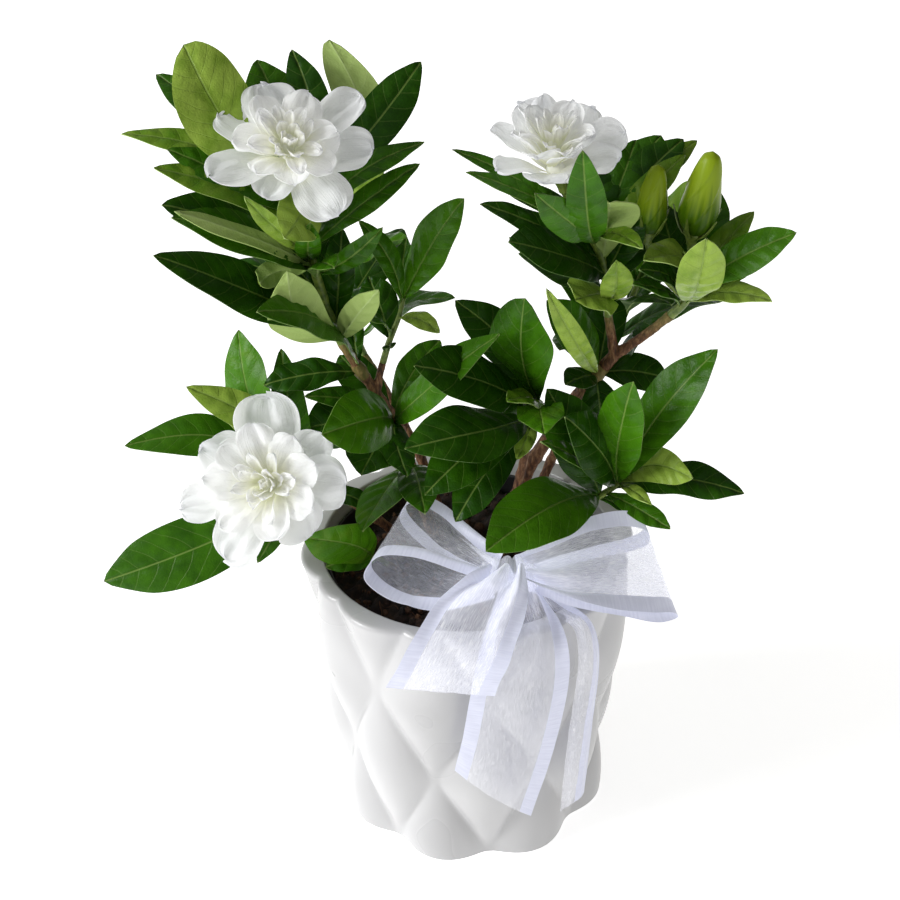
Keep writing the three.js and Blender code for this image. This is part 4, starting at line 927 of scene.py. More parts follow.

# A leaf is where it leaves the shoot, its tip, its width, its age (the bright one partly a painted sheen),
# and what sets it apart
shoots = {
    "crown_left": {
        "route": [(-52, 6, 243), (-57, 2, 264), (-61, -1, 284), (-63, -4, 303), upperLeftBloom["base"]],
        "radii": (2.1, 1.9),
        "leaves": [
            (0.92, (-104, 4, 378), 29, "young", {"arch": 0.06, "bend": -12, "blunt": 0.6}),
            (0.9, (-121, 26, 357), 19, "full"),
            (0.85, (-132, 0, 345), 13, "olive", {"roll": 18}),
            (0.8, (-113, -14, 342), 15, "full"),
            (0.74, (-116, -24, 340), 15, "olive"),
            (0.5, (-115, -30, 326), 22, "old"),
            (0.48, (-109, -42, 328), 10, "young", {"roll": 180, "arch": -0.08}),
            (0.5, (-81, -24, 287), 12, "young", {"roll": 180, "bend": -7}),
            (0.05, (-122, -26, 302), 22, "old"),
            (0.02, (-69, -28, 296), 23, "young",
             {"roll": 180, "fold": 0.2, "arch": -0.1, "bend": 5, "blunt": 0.1, "light": frontward}),
            (0.02, (-33, -20, 283), 12, "young",
             {"roll": 180, "fold": 0.35, "arch": -0.08, "bend": 2, "blunt": 0, "light": frontward}),
            (0.45, (-31, -14, 306), 9, "full", {"roll": 60}),
            (0.42, (-50, -34, 300), 12, "full"),
            (0.6, (-15, 0, 327), 11, "full"),
            (0.7, (-14, -2, 338), 11, "full", {"arch": 0.16}),
            (0.9, (-14, 22, 362), 18, "old", {"light": outFront, "arch": 0.06, "bend": 2}),
            (0.9, (-51, 34, 367), 21, "young", {"roll": 180, "bend": -20, "blunt": 0.6}),
            (0.9, (-66, 30, 365), 15, "old", {"bend": 9}),
            (0.86, (-79, 24, 364), 24, "full", {"roll": 10}),
            (0.6, (-81, -42, 334), 8, "young", toFront),
            (0.9, (-68, -40, 315), 20, "young", {"light": frontward, "arch": 0.14}),
            (0.55, (-58, -32, 317), 10, "full", toFront),
            (0.5, (-44, 30, 330), 18, "old"),
            (0.4, (-86, 28, 312), 18, "old"),
            (0.2, (-52, 20, 288), 14, "old"),
            (0.3, (-84, 10, 296), 15, "old"),
            (0.6, (-70, 34, 340), 16, "full"),
            (0.1, (-49, 6, 296), 13, "old"),
            (0.88, (-111, 4, 360), 11, "olive"),
            (0.46, (-110, -36, 324), 20, "full"),
        ],
    },
    "shoot_left_side": {
        "route": [(-35, 12, 229), (-32, 14, 238), (-27, 16, 250), (-25, 17, 258)],
        "radii": (1.6, 1),
        "leaves": [
            (0.95, (0, 10, 307), 20, "bright", {"bend": 4, "arch": 0.06, "light": windowward}),
            (0.9, (-41, 14, 296), 10, "full"),
            (0.93, (-23, 26, 282), 8, "full"),
            (0.7, (-10, -4, 253), 8, "young"),
            (0.35, (-40, 26, 264), 16, "old"),
            (0.4, (-42, -6, 262), 10, "full"),
            (0.15, (-30, -2, 244), 6, "old"),
        ],
    },
    "whorl_left_upper": {
        "route": [(-43.2, 8.7, 224), (-44.9, 8.3, 227.5), (-46.6, 7.9, 231)],
        "radii": (2.7, 3.3, 2.6),
        "onWood": True,
        "leaves": [
            (0.6, (-79, -44, 287), 20, "full"),
            (0.4, (-86, -2, 227), 15, "old"),
            (0.7, (-49, 30, 247), 9, "old"),
        ],
    },
    "whorl_left_lower": {
        "route": [(-30.4, 11.7, 197), (-32, 11.4, 200.5), (-33.5, 11.2, 204)],
        "radii": (2.9, 3.5, 2.8),
        "onWood": True,
        "leaves": [
            (0.5, (-60, -36, 223), 26, "bright", {"arch": 0.14, "bend": 1, "light": outFront}),
            (0.4, (-45, -22, 194), 25, "old"),
            (0.4, (-25, -26, 194), 13, "old"),
            (0.2, (14, -16, 258), 20, "full", {"arch": 0.16, "bend": 6}),
            (0.2, (-67, -12, 228), 11, "full"),
            (0.5, (-56, 44, 214), 17, "old"),
            (0.6, (-10, 36, 226), 15, "full"),
            (0.5, (-70, 0, 204), 24, "old"),
        ],
    },
    "whorl_left_low": {
        "route": [(-25.1, 13.5, 171), (-25.7, 13.3, 174), (-26.4, 13.1, 177)],
        "radii": (3, 3.6, 3),
        "onWood": True,
        "leaves": [
            (0.5, (-18, -34, 182), 17, "full"),
            (0.5, (-45, -34, 171), 21, "bright", {"light": windowward}),
        ],
    },
    "shoot_low_left": {
        "route": [(-62, -2, 170), (-70, -7, 177), (-75, -13, 184), lowLeftBloom["base"]],
        "radii": (1.9, 1.9),
        "leaves": [
            (0.3, (-98, 16, 244), 24, "bright", {"bend": -4, "light": windowward}),
            (0.25, (-118, -4, 229), 16, "young", {"bend": 3}),
            (0.35, (-106, -2, 217), 12, "young"),
            (0.3, (-99, 4, 202), 6, "young"),
            (0.3, (-146, -14, 207), 20, "full", {"bend": 13}),
            (0.2, (-161, -30, 145), 28, "full", {"light": outFront}),
            (0.4, (-91, -40, 161), 9, "full"),
            (0.2, (-79, 14, 236), 14, "full"),
            (0.2, (-41, -14, 170), 9, "old"),
        ],
    },
    "shoot_front_left": {
        "route": [(-37, -7, 134), (-40, -10, 139), (-44, -13, 143)],
        "radii": (1.4, 1),
        "leaves": [
            (0.9, (-71, -36, 172), 21, "bright", {"arch": 0.16, "bend": 6, "light": windowward}),
            (0.5, (-63, -22, 145), 11, "full"),
        ],
    },
    "shoot_centre": {
        "route": [(28, -3, 202), (30, -2, 209), (33, -2, 216)],
        "radii": (1.9, 1.2),
        "leaves": [
            (0.95, (25, -12, 271), 30, "full", {"light": windowward, "blunt": 0.6}),
            (0.8, (-2, 10, 260), 20, "old", {"bend": 4}),
            (0.6, (-21, -30, 251), 26, "old", {"bend": 3}),
            (0.4, (-24, -44, 222), 26, "old", {"bend": -3}),
            (0.5, (22, -24, 201), 8, "young"),
            (0.8, (18, -30, 234), 13, "olive"),
            (0.2, (-17, -46, 200), 22, "old"),
            (0.1, (-5, -40, 180), 18, "old"),
            (0.8, (33, -34, 221), 19, "bright", {"arch": 0.14}),
        ],
    },
    "shoot_right_low": {
        "route": [(55, -8, 167), (62, -11, 174), (68, -14, 181)],
        "radii": (1.8, 1.2),
        "leaves": [
            (0.8, (41, -34, 228), 24, "old", {"roll": -12}),
            (0.6, (31, -40, 220), 10, "full"),
            (0.3, (8, -72, 189), 29, "bright", {"arch": 0.12, "bend": 3}),
            (0.9, (70, -33, 244), 22, "full", {"light": windowward}),
            (0.95, (104, -20, 250), 22, "full"),
            (0.9, (96, -36, 197), 15, "young", {"roll": 20, "bend": -6}),
            (0.7, (118, -34, 188), 17, "old"),
            (0.45, (87, -40, 173), 10, "full"),
            (0.9, (78, -40, 187), 6, "young"),
            (0.2, (77, -6, 160), 7, "old"),
            (0.3, (36, -14, 229), 24, "old"),
        ],
    },
    "whorl_right": {
        "route": [(55.4, 10.2, 219), (58.2, 9.5, 222.8), (61, 8.9, 226.5)],
        "radii": (3.2, 3.9, 3.1),
        "onWood": True,
        "leaves": [
            (0.5, (33, -42, 292), 9, "young", toFront),
            (0.6, (36, 4, 262), 18, "full"),
            (0.5, (89, 10, 218), 17, "old"),
            (0.3, (43, -10, 229), 13, "old"),
            (0.5, (66, 40, 246), 16, "old"),
            (0.4, (60, 4, 203), 15, "old"),
        ],
    },
    "crown_right_bloom": {
        "route": [(62, 8, 252), (61, 6, 266), (58, 4, 282), (49, 0, 302), upperRightBloom["base"]],
        "radii": (1.9, 1.8),
        "leaves": [
            (0.3, (18, -26, 304), 25, "old"),
            (0.25, (20, -8, 298), 9, "olive"),
            (0.4, (8, -2, 310), 11, "old"),
            (0.5, (17, 6, 315), 11, "old", {"bend": 3}),
            (0.6, (2, -14, 329), 9, "full"),
            (0.66, (-2, 14, 328), 7, "full"),
            (0.6, (28, -46, 335), 14, "full", toFront),
            (0.55, (46, -49, 350), 15, "full", {"light": frontward, "arch": 0.1, "bend": -5, "blunt": 0.3}),
            (0.7, (50, 30, 338), 6, "full"),
            (0.6, (57, 22, 322), 18, "old"),
            (0.5, (98, 26, 324), 12, "olive", {"light": windowward}),
            (0.5, (87, 28, 323), 15, "old"),
            (0.46, (92, 12, 323), 12, "olive"),
            (0.56, (73, 24, 325), 14, "full"),
            (0.4, (57, -38, 326), 23, "young", {"roll": 170, "fold": 0.3, "light": frontward}),
            (0.58, (70, -40, 308), 9, "olive"),
            (0.15, (46, -16, 272), 22, "young"),
            (0.25, (36, 26, 300), 18, "old"),
            (0.2, (84, 30, 292), 17, "old"),
            (0.45, (62, 34, 306), 16, "full"),
            (0.35, (40, 14, 296), 15, "old"),
            (0.3, (74, 4, 306), 15, "old"),
            (0.5, (84, 30, 324), 23, "full"),
            (0.5, (92, 22, 326), 18, "old"),
            (0.12, (62, -22, 293), 13, "young", undersideUp),
        ],
    },
    "crown_right_buds": {
        "route": [budFork, budForkGreen, (95, 2, 276), largeBud["base"]],
        "radii": (2, 1.9),
        "branches": [([budForkGreen, (86, 4, 270), (79, 6, 281), smallBud["base"]], (1.5, 1.5))],
        "leaves": [
            (0.3, (71, -32, 298), 19, "young", {"arch": 0.22}),
            (0.4, (90, -26, 297), 8, "olive"),
            (0.25, (94, -44, 312), 18, "young", {"roll": 180, "blunt": 0.6}),
            (0.35, (134, -14, 300), 17, "bright"),
            (0.4, (120, 6, 300), 12, "olive"),
            (0.2, (125, -26, 275), 11, "young"),
            (0.15, (117, -6, 277), 6, "olive"),
            (0.2, (73, -20, 289), 13, "old"),
            (0.15, (68, -22, 282), 9, "full"),
            (0.05, (70, 24, 219), 9, "old"),
            (0.35, (108, 30, 300), 16, "full"),
            (0.3, (84, 26, 296), 15, "old"),
            (0.15, (104, 26, 276), 13, "old"),
        ],
    },
}

# The shoots at the back: three leaves to a whorl, each whorl turned on the last
backShoots = {
    "shoot_back_left": [(-46, 56, 208), (-54, 58, 230), (-64, 57, 262)],
    "shoot_back_right": [(66, 54, 206), (75, 56, 228), (84, 55, 256)],
}
backLeaves = {
    # the bright whorl's tone is partly a painted sheen
    "ages": ("full", "old", "bright", "olive"),  # one whorl of each, from the lowest
    "each": 3,             # leaves to a whorl
    "span": (0.12, 0.85),  # the lowest whorl's share of its shoot, and what the top one's adds
    "turn": 47,            # of each whorl on the last
    "turnSpread": (-12, 12),
    "lean": (18, 34),
    "lengths": (50, 62),
    "widths": (19, 25),
    "light": np.array((0.0, 0.0, 1.0)),
    "seed": 7,
}


def seededDraw(seed):
    # the generator of the part's source, so that these leaves stand where the source's do
    state = [seed]

    def draw(low, high):
        state[0] = (state[0] * 16807) % 2147483647
        return low + (high - low) * state[0] / 2147483647

    return draw


def whorledLeaves(route, draw, style):
    leaves = []
    each = style["each"]
    low, reach = style["span"]
    for i in range(each * len(style["ages"])):
        whorl = i // each
        at = low + reach * whorl / (len(style["ages"]) - 1)
        turn = math.radians(360 // each * (i % each) + style["turn"] * whorl + draw(*style["turnSpread"]))
        lean = math.radians(draw(*style["lean"]) + 6 * whorl)
        length = draw(*style["lengths"]) - 3 * whorl
        root = alongRoute(route, [at])[0]
        out = length * math.cos(lean)
        tip = root + np.array((out * math.cos(turn), out * math.sin(turn), length * math.sin(lean)))
        leaves.append((at, tip, draw(*style["widths"]), style["ages"][whorl], {"light": style["light"]}))
    return leaves


backDraw = seededDraw(backLeaves["seed"])
for node, route in backShoots.items():
    leaves = whorledLeaves(route, backDraw, backLeaves)
    shoots[node] = {"route": route, "radii": (1.8, 1.1), "leaves": leaves}
for node, shoot in shoots.items():
    makeShoot(node, shoot)
bpy.data.objects.remove(leafMaster)
print("foliage done")


# Blooms: rings of petals round an axis, the outer ones bent well back, the heart still closed

petalStyle = {
    "cells": (24, 16),
    "crowding": 1.5,       # cells crowd towards the tip, where the edge is roundest
    "thickness": 0.22,
    "claw": 2.4,
    "rootPower": 1.05,
    "tipPower": 0.4,
    "breadth": 0.4777,     # what the outline's powers are divided by
    "rib": (0.3, 0.14),    # depth and half width of the groove up the middle
    "pleats": (0.02, 0.07),
    "ruffle": (0.03, 0.1),
    "curl": (0.0, 0.25),
    "tuck": (-0.45, 0.5),
    "crumples": (0.07, 0.03),   # soft and fine ones, as shares of the length
    "ragged": 0.07,
    "sway": (-0.08, 0.08),
    "neckRadii": (2.3, 2.2, 2.4, 2.8, 3.2, 3.6, 3.8, 3.4, 2),
    "seed": 41,
}
petalDraw = random.Random(petalStyle["seed"])
petalMaster = bladeSheet("petal_sheet", *petalStyle["cells"])

# A petal is its turn about the axis, where it starts on it, length, width, lean at root and at tip,
# cup and twist. Turns run round from the right. A bloom's shift takes it from its stalk's end to
# where the photograph shows it.
bloomPlans = {
    "bloom_upper_left": {
        **upperLeftBloom, "shift": (-5, 0, 9), "scale": 0.88,
        "petals": [
            (108, 3, 33, 25, 50, 84, 0.14, 10), (150, 3, 34, 22, 50, 92, 0.14, 14),
            (35, 3, 41, 20, 50, 86, 0.3, -12), (358, 3, 37, 21, 52, 88, 0.2, 12),
            (303, 3, 39, 25, 52, 90, 0.12, 12), (206, 3, 37, 21, 54, 92, 0.22, 8),
            (252, 3, 24, 18, 50, 90, 0.14, 10), (128, 7, 28, 17, 34, 72, 0.24, 14),
            (70, 7, 27, 18, 36, 70, 0.26, 14), (10, 7, 25, 16, 34, 74, 0.24, 14),
            (322, 7, 26, 16, 36, 74, 0.24, -14), (276, 7, 23, 15, 36, 78, 0.2, 14),
            (232, 7, 23, 15, 36, 76, 0.2, 14), (180, 7, 27, 15, 36, 74, 0.24, 14),
        ],
        "heart": 19, "heartSize": (18, 7),
    },
    "bloom_upper_right": {
        **upperRightBloom, "shift": (-5, 0, 6), "facing": (0.02, -0.26, 0.96), "scale": 0.9,
        "petals": [
            (132, 3, 31, 23, 32, 56, 0.2, 10), (98, 3, 32, 14, 26, 44, 0.2, 8),
            (165, 3, 31, 19, 42, 72, 0.2, 12), (205, 3, 28, 18, 50, 84, 0.16, 12),
            (255, 3, 20, 20, 46, 78, 0.16, 10), (300, 3, 21, 20, 44, 78, 0.18, 10),
            (345, 3, 31, 19, 46, 78, 0.2, 12), (15, 3, 34, 18, 46, 74, 0.3, 30),
            (42, 3, 31, 17, 38, 64, 0.2, 12), (70, 6.5, 27, 16, 22, 50, 0.3, 14),
            (120, 6.5, 26, 17, 22, 48, 0.3, 14), (185, 6.5, 24, 16, 26, 58, 0.3, 14),
            (240, 6.5, 22, 17, 26, 60, 0.3, 14), (290, 6.5, 22, 17, 26, 60, 0.3, 14),
            (340, 6.5, 24, 16, 24, 58, 0.3, 14),
        ],
        "heart": 15, "heartSize": (18, 7),
    },
    "bloom_low_left": {
        **lowLeftBloom, "shift": (-3, 0, -4), "facing": (-0.24, -0.8, 0.55),
        "petals": [
            (86, 3, 39, 31, 50, 84, 0.16, 10), (42, 3, 33, 20, 50, 86, 0.2, 12),
            (2, 3, 34, 27, 52, 88, 0.14, 12), (310, 3, 28, 26, 52, 90, 0.14, 12),
            (236, 3, 38, 28, 54, 92, 0.12, 10), (192, 3, 42, 20, 54, 92, 0.14, 14),
            (150, 3, 35, 27, 52, 88, 0.14, 12), (100, 7, 30, 19, 36, 76, 0.26, 14),
            (55, 7, 27, 18, 36, 74, 0.24, 14), (15, 7, 28, 19, 36, 74, 0.24, 14),
            (330, 7, 27, 18, 36, 76, 0.24, 14), (285, 7, 26, 20, 36, 76, 0.22, 14),
            (222, 7, 29, 19, 38, 76, 0.22, 14), (172, 7, 30, 20, 38, 76, 0.22, 14),
            (135, 7, 28, 18, 36, 74, 0.24, 14),
        ],
        "heart": 19, "heartSize": (18, 7.5),
    },
}


def shapePetal(petal, root, axis, outward, plan, closed):
    # closed is 0 for an open outer petal and 1 for the innermost of the heart
    style = petalStyle
    draw = petalDraw
    length, width, start, end, cup, twist = plan
    flat = points(petal.data)
    u = 1 - (1 - (flat[:, 0] + 1) / 2) ** style["crowding"]
    v = flat[:, 1]
    edge = np.abs(v)
    begin = math.radians(start)
    swing = math.radians(end - start)
    lean = begin + swing * u
    out = length * (math.cos(begin) - np.cos(lean)) / swing
    rise = length * (np.sin(lean) - math.sin(begin)) / swing
    spine = root + np.outer(out, outward) + np.outer(rise, axis)
    tangent = np.outer(np.sin(lean), outward) + np.outer(np.cos(lean), axis)
    normal = np.outer(np.sin(lean), axis) - np.outer(np.cos(lean), outward)
    side = np.cross(tangent, normal)
    cosine, sine = math.cos(math.radians(twist)), math.sin(math.radians(twist))
    side, normal = side * cosine - normal * sine, normal * cosine + side * sine
    half = width / 2 * u ** style["rootPower"] * (1 - u) ** style["tipPower"] / style["breadth"]
    half = np.maximum(half, style["claw"] / 2 * np.clip(1 - 4 * u, 0, 1))
    ruffle = draw.uniform(*style["ruffle"]) * edge ** 2
    ruffle *= np.sin(draw.uniform(8, 15) * u + 2.5 * v + draw.uniform(0, 6))
    pleats = draw.uniform(*style["pleats"]) * np.cos(draw.uniform(6, 10) * v + draw.uniform(0, 6))
    pleats *= eased(u, 0.1, 0.7)
    curl = draw.uniform(*style["curl"]) * (1 - closed) * eased(edge, 0.55, 1.1) ** 2
    tuckSide = draw.choice((-1, 1))
    tuck = draw.uniform(*style["tuck"]) * eased(tuckSide * v, 0.35, 1.15) ** 2 * eased(u, 0.35, 0.8)
    lift = (cup * v ** 2 + ruffle + pleats - curl + tuck) * half
    ribDepth, ribWidth = style["rib"]
    lift -= ribDepth * np.exp(-(v / ribWidth) ** 2) * eased(u, 0, 0.4)
    seed = draw.uniform(0, 50)
    soft = np.array([noise.noise(Vector((3.2 * a, 1.8 * b, seed))) for a, b in zip(u, v)])
    fine = np.array([noise.noise(Vector((5 * a, 6 * b, seed))) for a, b in zip(u, v)])
    softDepth, fineDepth = style["crumples"]
    lift += length * (softDepth * soft + fineDepth * fine) * eased(u, 0.15, 0.9)
    ragged = np.array([noise.noise(Vector((1.6 * b, seed, 3))) for b in v])
    reachOut = style["ragged"] * length * ragged * u ** 3
    sway = draw.uniform(*style["sway"]) * length * u ** 2
    place = spine + side * (v * half + sway)[:, None] + normal * lift[:, None] + tangent * reachOut[:, None]
    movePoints(petal.data, place)
    setTone(petal.data, closed)
    setUV(petal.data, "UVMap", u, v)


heartStyle = {
    "turn": 137.5,         # degrees from one small petal to the next
    "turnSpread": (-14, 14),
    "lean": (6, 58),       # the innermost's, and how much further the outermost leans
    "leanSpread": (-12, 12),
    "taper": (1.1, 0.35),  # the outermost's size, and how much smaller the innermost is
    "sprout": (10, 2),     # where the outermost starts, and how much higher the innermost
    "gap": (3.4, 2.2),     # how far from the axis, and how much nearer the innermost
    "cup": 0.4,
    "twist": (-30, 30),
    "foot": 8,             # where the furled heart starts
    "furled": (15, 6),     # its height and width
}


def furledHeart(foot, axis, across, height, width):
    # the last petals are still wound round each other in the middle
    deselectAll()
    bpy.ops.mesh.primitive_uv_sphere_add(segments=48, ring_count=24, radius=1)
    heart = bpy.context.object
    form = points(heart.data)
    u = np.arccos(np.clip(-form[:, 2], -1, 1)) / math.pi
    turn = np.arctan2(form[:, 1], form[:, 0])
    wound = (3 * turn / (2 * math.pi) + 1.2 * u) % 1
    radius = width / 2 * np.sin(math.pi * u) ** 0.7 * (0.78 + 0.4 * wound)
    ring = np.outer(np.cos(turn), across) + np.outer(np.sin(turn), np.cross(axis, across))
    movePoints(heart.data, foot + np.outer(u * height, axis) + ring * radius[:, None])
    setTone(heart.data, 0.85)
    setUV(heart.data, "UVMap", 0.25 + 0.6 * u, turn / math.pi)
    return heart


def makeBloom(node, bloom, heart):
    style = petalStyle
    draw = petalDraw
    axis = unit(np.array(bloom["facing"], float))
    across = unit(np.array((1.0, 0, 0)) - axis * axis[0])
    stalk = np.array(bloom["base"], float)
    base = stalk + np.array(bloom["shift"])
    petals = []

    def addPetal(about, sprout, plan, closed, gap=2.2):
        outward = turnedAbout(across, axis, about)
        petal = copyOf(petalMaster, f"{node}_petal_{len(petals)}")
        shapePetal(petal, base + axis * sprout + outward * gap, axis, outward, plan, closed)
        petals.append(petal)

    for about, sprout, length, *plan in bloom["petals"]:
        addPetal(about, sprout, (length * bloom.get("scale", 1), *plan), 0 if sprout < 5 else 0.3)
    long, wide = bloom["heartSize"]
    upright, leaning = heart["lean"]
    whole, smaller = heart["taper"]
    for k in range(bloom["heart"]):
        inward = k / (bloom["heart"] - 1)
        lean = leaning * (1 - inward) ** 0.7 + upright + draw.uniform(*heart["leanSpread"])
        length = long * (whole - smaller * inward) * draw.uniform(0.88, 1.1)
        width = wide * (whole - smaller * inward) * draw.uniform(0.85, 1.15)
        plan = (length, width, 0.3 * lean, 1.25 * lean - 12, heart["cup"], draw.uniform(*heart["twist"]))
        about = heart["turn"] * k + draw.uniform(*heart["turnSpread"])
        sprout = heart["sprout"][0] + heart["sprout"][1] * inward
        addPetal(about, sprout, plan, 0.5 + 0.5 * inward, heart["gap"][0] - heart["gap"][1] * inward)
    top = base + axis * heart["foot"]
    petals.append(furledHeart(top, axis, across, *heart["furled"]))
    flower = joined(node + "_petals", petals)
    weld(flower)
    applied(flower, "SOLIDIFY", thickness=style["thickness"] * mm, offset=0)
    radii = style["neckRadii"]
    neck = tube([stalk + (top - stalk) * t for t in np.linspace(0, 1, len(radii))], radii)
    setTone(neck.data, 0.3)
    for piece in (flower, neck):
        piece.data.materials.append(skins["petal"])
        piece.data.materials.append(skins["twig"])
    along = (points(neck.data) / mm - stalk) @ unit(top - stalk)
    inBloom = along > np.linalg.norm(base - stalk) + 1
    setUV(neck.data, "UVMap", np.full_like(along, 0.6), np.zeros_like(along))
    for polygon in neck.data.polygons:
        polygon.material_index = int(not all(inBloom[v] for v in polygon.vertices))
    flower = joined(node + "_petals", [flower, neck])
    smooth(flower, 80)
    standIn(flower, [node])


for node, bloom in bloomPlans.items():
    makeBloom(node, bloom, heartStyle)
bpy.data.objects.remove(petalMaster)
print("blooms done")


# Buds: furled petals wind up a pointed body, with a calyx cup and five sepals at its foot

budRadii = [0.0, 0.5, 0.7, 0.84, 0.93, 0.98, 1.0, 1.0, 0.985, 0.96, 0.93, 0.895, 0.86, 0.82, 0.775, 0.73,
            0.675, 0.61, 0.53, 0.4, 0.0]
budOutline = (np.linspace(0, 1, len(budRadii)), budRadii)  # from foot to tip, as shares
budStyle = {
    "flutes": 5,
    "fluteDepth": 0.09,
    "winding": 0.45,
    "sepals": 5,
    "sepalTurn": 20,
    "sepal": (13, 2.6),
    "sepalThickness": 0.5,
    "cupSpan": (-4, 3.5),
    "cupRadii": (1.9, 2, 2.3, 2.8, 3.3, 3.9, 4.3, 4.2, 3),
    "calyxTone": 0.7,
}


def makeBud(node, bud, style):
    base = np.array(bud["base"], float)
    facing = np.array(bud["facing"], float)
    axis = unit(facing)
    frameX = unit(np.array((1.0, 0, 0)) - axis * axis[0])
    frameY = np.cross(axis, frameX)
    deselectAll()
    bpy.ops.mesh.primitive_uv_sphere_add(segments=80, ring_count=56, radius=1)
    body = bpy.context.object
    form = points(body.data)
    u = np.arccos(np.clip(-form[:, 2], -1, 1)) / math.pi
    turn = np.arctan2(form[:, 1], form[:, 0])
    phase = (style["flutes"] * turn / (2 * math.pi) - style["flutes"] * style["winding"] * u) % 1
    ridge = style["fluteDepth"] * (phase ** 1.4 - 0.35) * np.sin(math.pi * np.clip(u, 0, 1)) ** 0.4
    ridge *= 1 - eased(phase, 0.93, 1)
    radius = bud["width"] / 2 * np.interp(u, *budOutline) * (1 + ridge)
    ring = np.outer(np.cos(turn), frameX) + np.outer(np.sin(turn), frameY)
    movePoints(body.data, base + np.outer(u, facing) + ring * radius[:, None])
    setTone(body.data, 0)
    sepals = []
    length, width = style["sepal"]
    master = bladeSheet("sepal_sheet", 14, 4)
    for k in range(style["sepals"]):
        outward = turnedAbout(frameX, axis, 360 / style["sepals"] * k + style["sepalTurn"])
        sepal = copyOf(master, f"{node}_sepal_{k}")
        flat = points(sepal.data)
        along = (flat[:, 0] + 1) / 2
        out = bud["width"] / 2 * np.interp(along * 0.34, *budOutline) + 0.4 + 2.2 * along ** 3
        side = np.cross(axis, outward)
        half = width / 2 * (1 - along) ** 0.6
        place = base + np.outer(along * length - 1, axis) + np.outer(out, outward)
        movePoints(sepal.data, place + np.outer(flat[:, 1] * half, side))
        setTone(sepal.data, style["calyxTone"])
        setUV(sepal.data, "veins", np.full_like(along, 0.5), flat[:, 1] * 4)
        sepals.append(sepal)
    bpy.data.objects.remove(master)
    calyx = joined(node + "_calyx", sepals)
    weld(calyx)
    applied(calyx, "SOLIDIFY", thickness=style["sepalThickness"] * mm, offset=0)
    radii = style["cupRadii"]
    cup = tube([base + axis * t for t in np.linspace(*style["cupSpan"], len(radii))], radii)
    setTone(cup.data, style["calyxTone"])
    for piece in (body, calyx, cup):
        piece.data.materials.append(skins["bud"])
        piece.data.materials.append(skins["twig"])
    for piece in (calyx, cup):
        for polygon in piece.data.polygons:
            polygon.material_index = 1
    whole = joined(node + "_furled", [body, calyx, cup])
    smooth(whole, 40)
    standIn(whole, [node])


makeBud("bud_large", largeBud, budStyle)
makeBud("bud_small", smallBud, budStyle)
print("buds done")


# Bow: one sheer ribbon with satin borders. Each run lies between two edges, and folds gather it
# where it goes into the knot.

bowStyle = {
    "cells": (90, 32),
    "thickness": 0.25,
    "width": 42,
    "border": 7,
    "pleats": 2.2,
    "gatherReach": 24,     # how far from the knot the folds open out
    "gatherCover": 0.3,    # how much closer the weave looks where it is gathered
    "crinkle": 0.35,
    "seed": 3,
}

ribbonRuns = {
    "bow_loop_left": {
        "near": [(10, -58, 162), (-6, -57, 168), (-24, -53, 172), (-39, -51, 170),
                 (-44, -55, 163), (-34, -61, 156), (-14, -64, 153), (10, -60, 157)],
        "far": [(14, -44, 163), (1, -31, 169), (-11, -18, 174), (-22, -9, 174),
                (-27, -9, 166), (-17, -17, 156), (-2, -32, 153), (14, -47, 157)],
        "cover": -0.04,
        "gathers": (1, 1),
        "held": "gathered",
    },
    "bow_loop_right": {
        "near": [(22, -60, 163), (45, -68, 158), (59, -66, 152), (78, -58, 143), (89, -50, 136),
                 (91, -48, 132), (84, -50, 131), (64, -58, 142), (44, -61, 150), (24, -57, 158)],
        "far": [(20, -48, 166), (33, -44, 173), (53, -34, 177), (70, -29, 176), (76, -30, 173),
                (76, -32, 168), (70, -33, 165), (56, -35, 162), (40, -40, 160), (22, -48, 158)],
        "cover": 0.1,
        "gathers": (1, 1),
        "held": "gathered",
    },
    "bow_tail_left": {
        "near": [(9, -58, 168), (-3, -66, 168), (-13, -71, 162), (-20, -77, 154),
                 (-26, -82, 146), (-31, -84, 136), (-36, -82, 125)],
        "far": [(24, -58, 168), (25, -69, 165), (23, -77, 157), (19, -84, 149),
                (16, -88, 141), (12, -89, 132), (10, -88, 124)],
        "cover": 0.13,
        "gathers": (1, 0),
        "held": "draped",
    },
    "bow_tail_front": {
        "near": [(14, -56, 160), (11, -63, 154), (7, -71, 147), (4, -80, 141),
                 (0, -81, 120), (-4, -78, 92), (-8, -75, 70)],
        "far": [(28, -54, 158), (33, -60, 153), (38, -66, 147), (41, -74, 141),
                (42, -75, 122), (36, -73, 80), (26, -70, 36)],
        "crown": 3,
        "cover": 0,
        "gathers": (1, 0),
        "held": "hung",
    },
    "bow_tail_right": {
        "near": [(25, -52, 158), (33, -56, 149), (38, -57.5, 143.2), (45, -66, 142),
                 (47, -70, 130), (43, -68, 80), (40, -66, 34)],
        "far": [(25, -49, 158), (37, -52, 149), (44, -53, 143.2), (52, -60, 142),
                (56, -64, 130), (54, -61, 80), (51, -60, 40)],
        "gathers": (1, 0),
        "held": "hung",
        "width": 16,
        "pleats": 0.8,
        "cover": 0.04,
    },
}


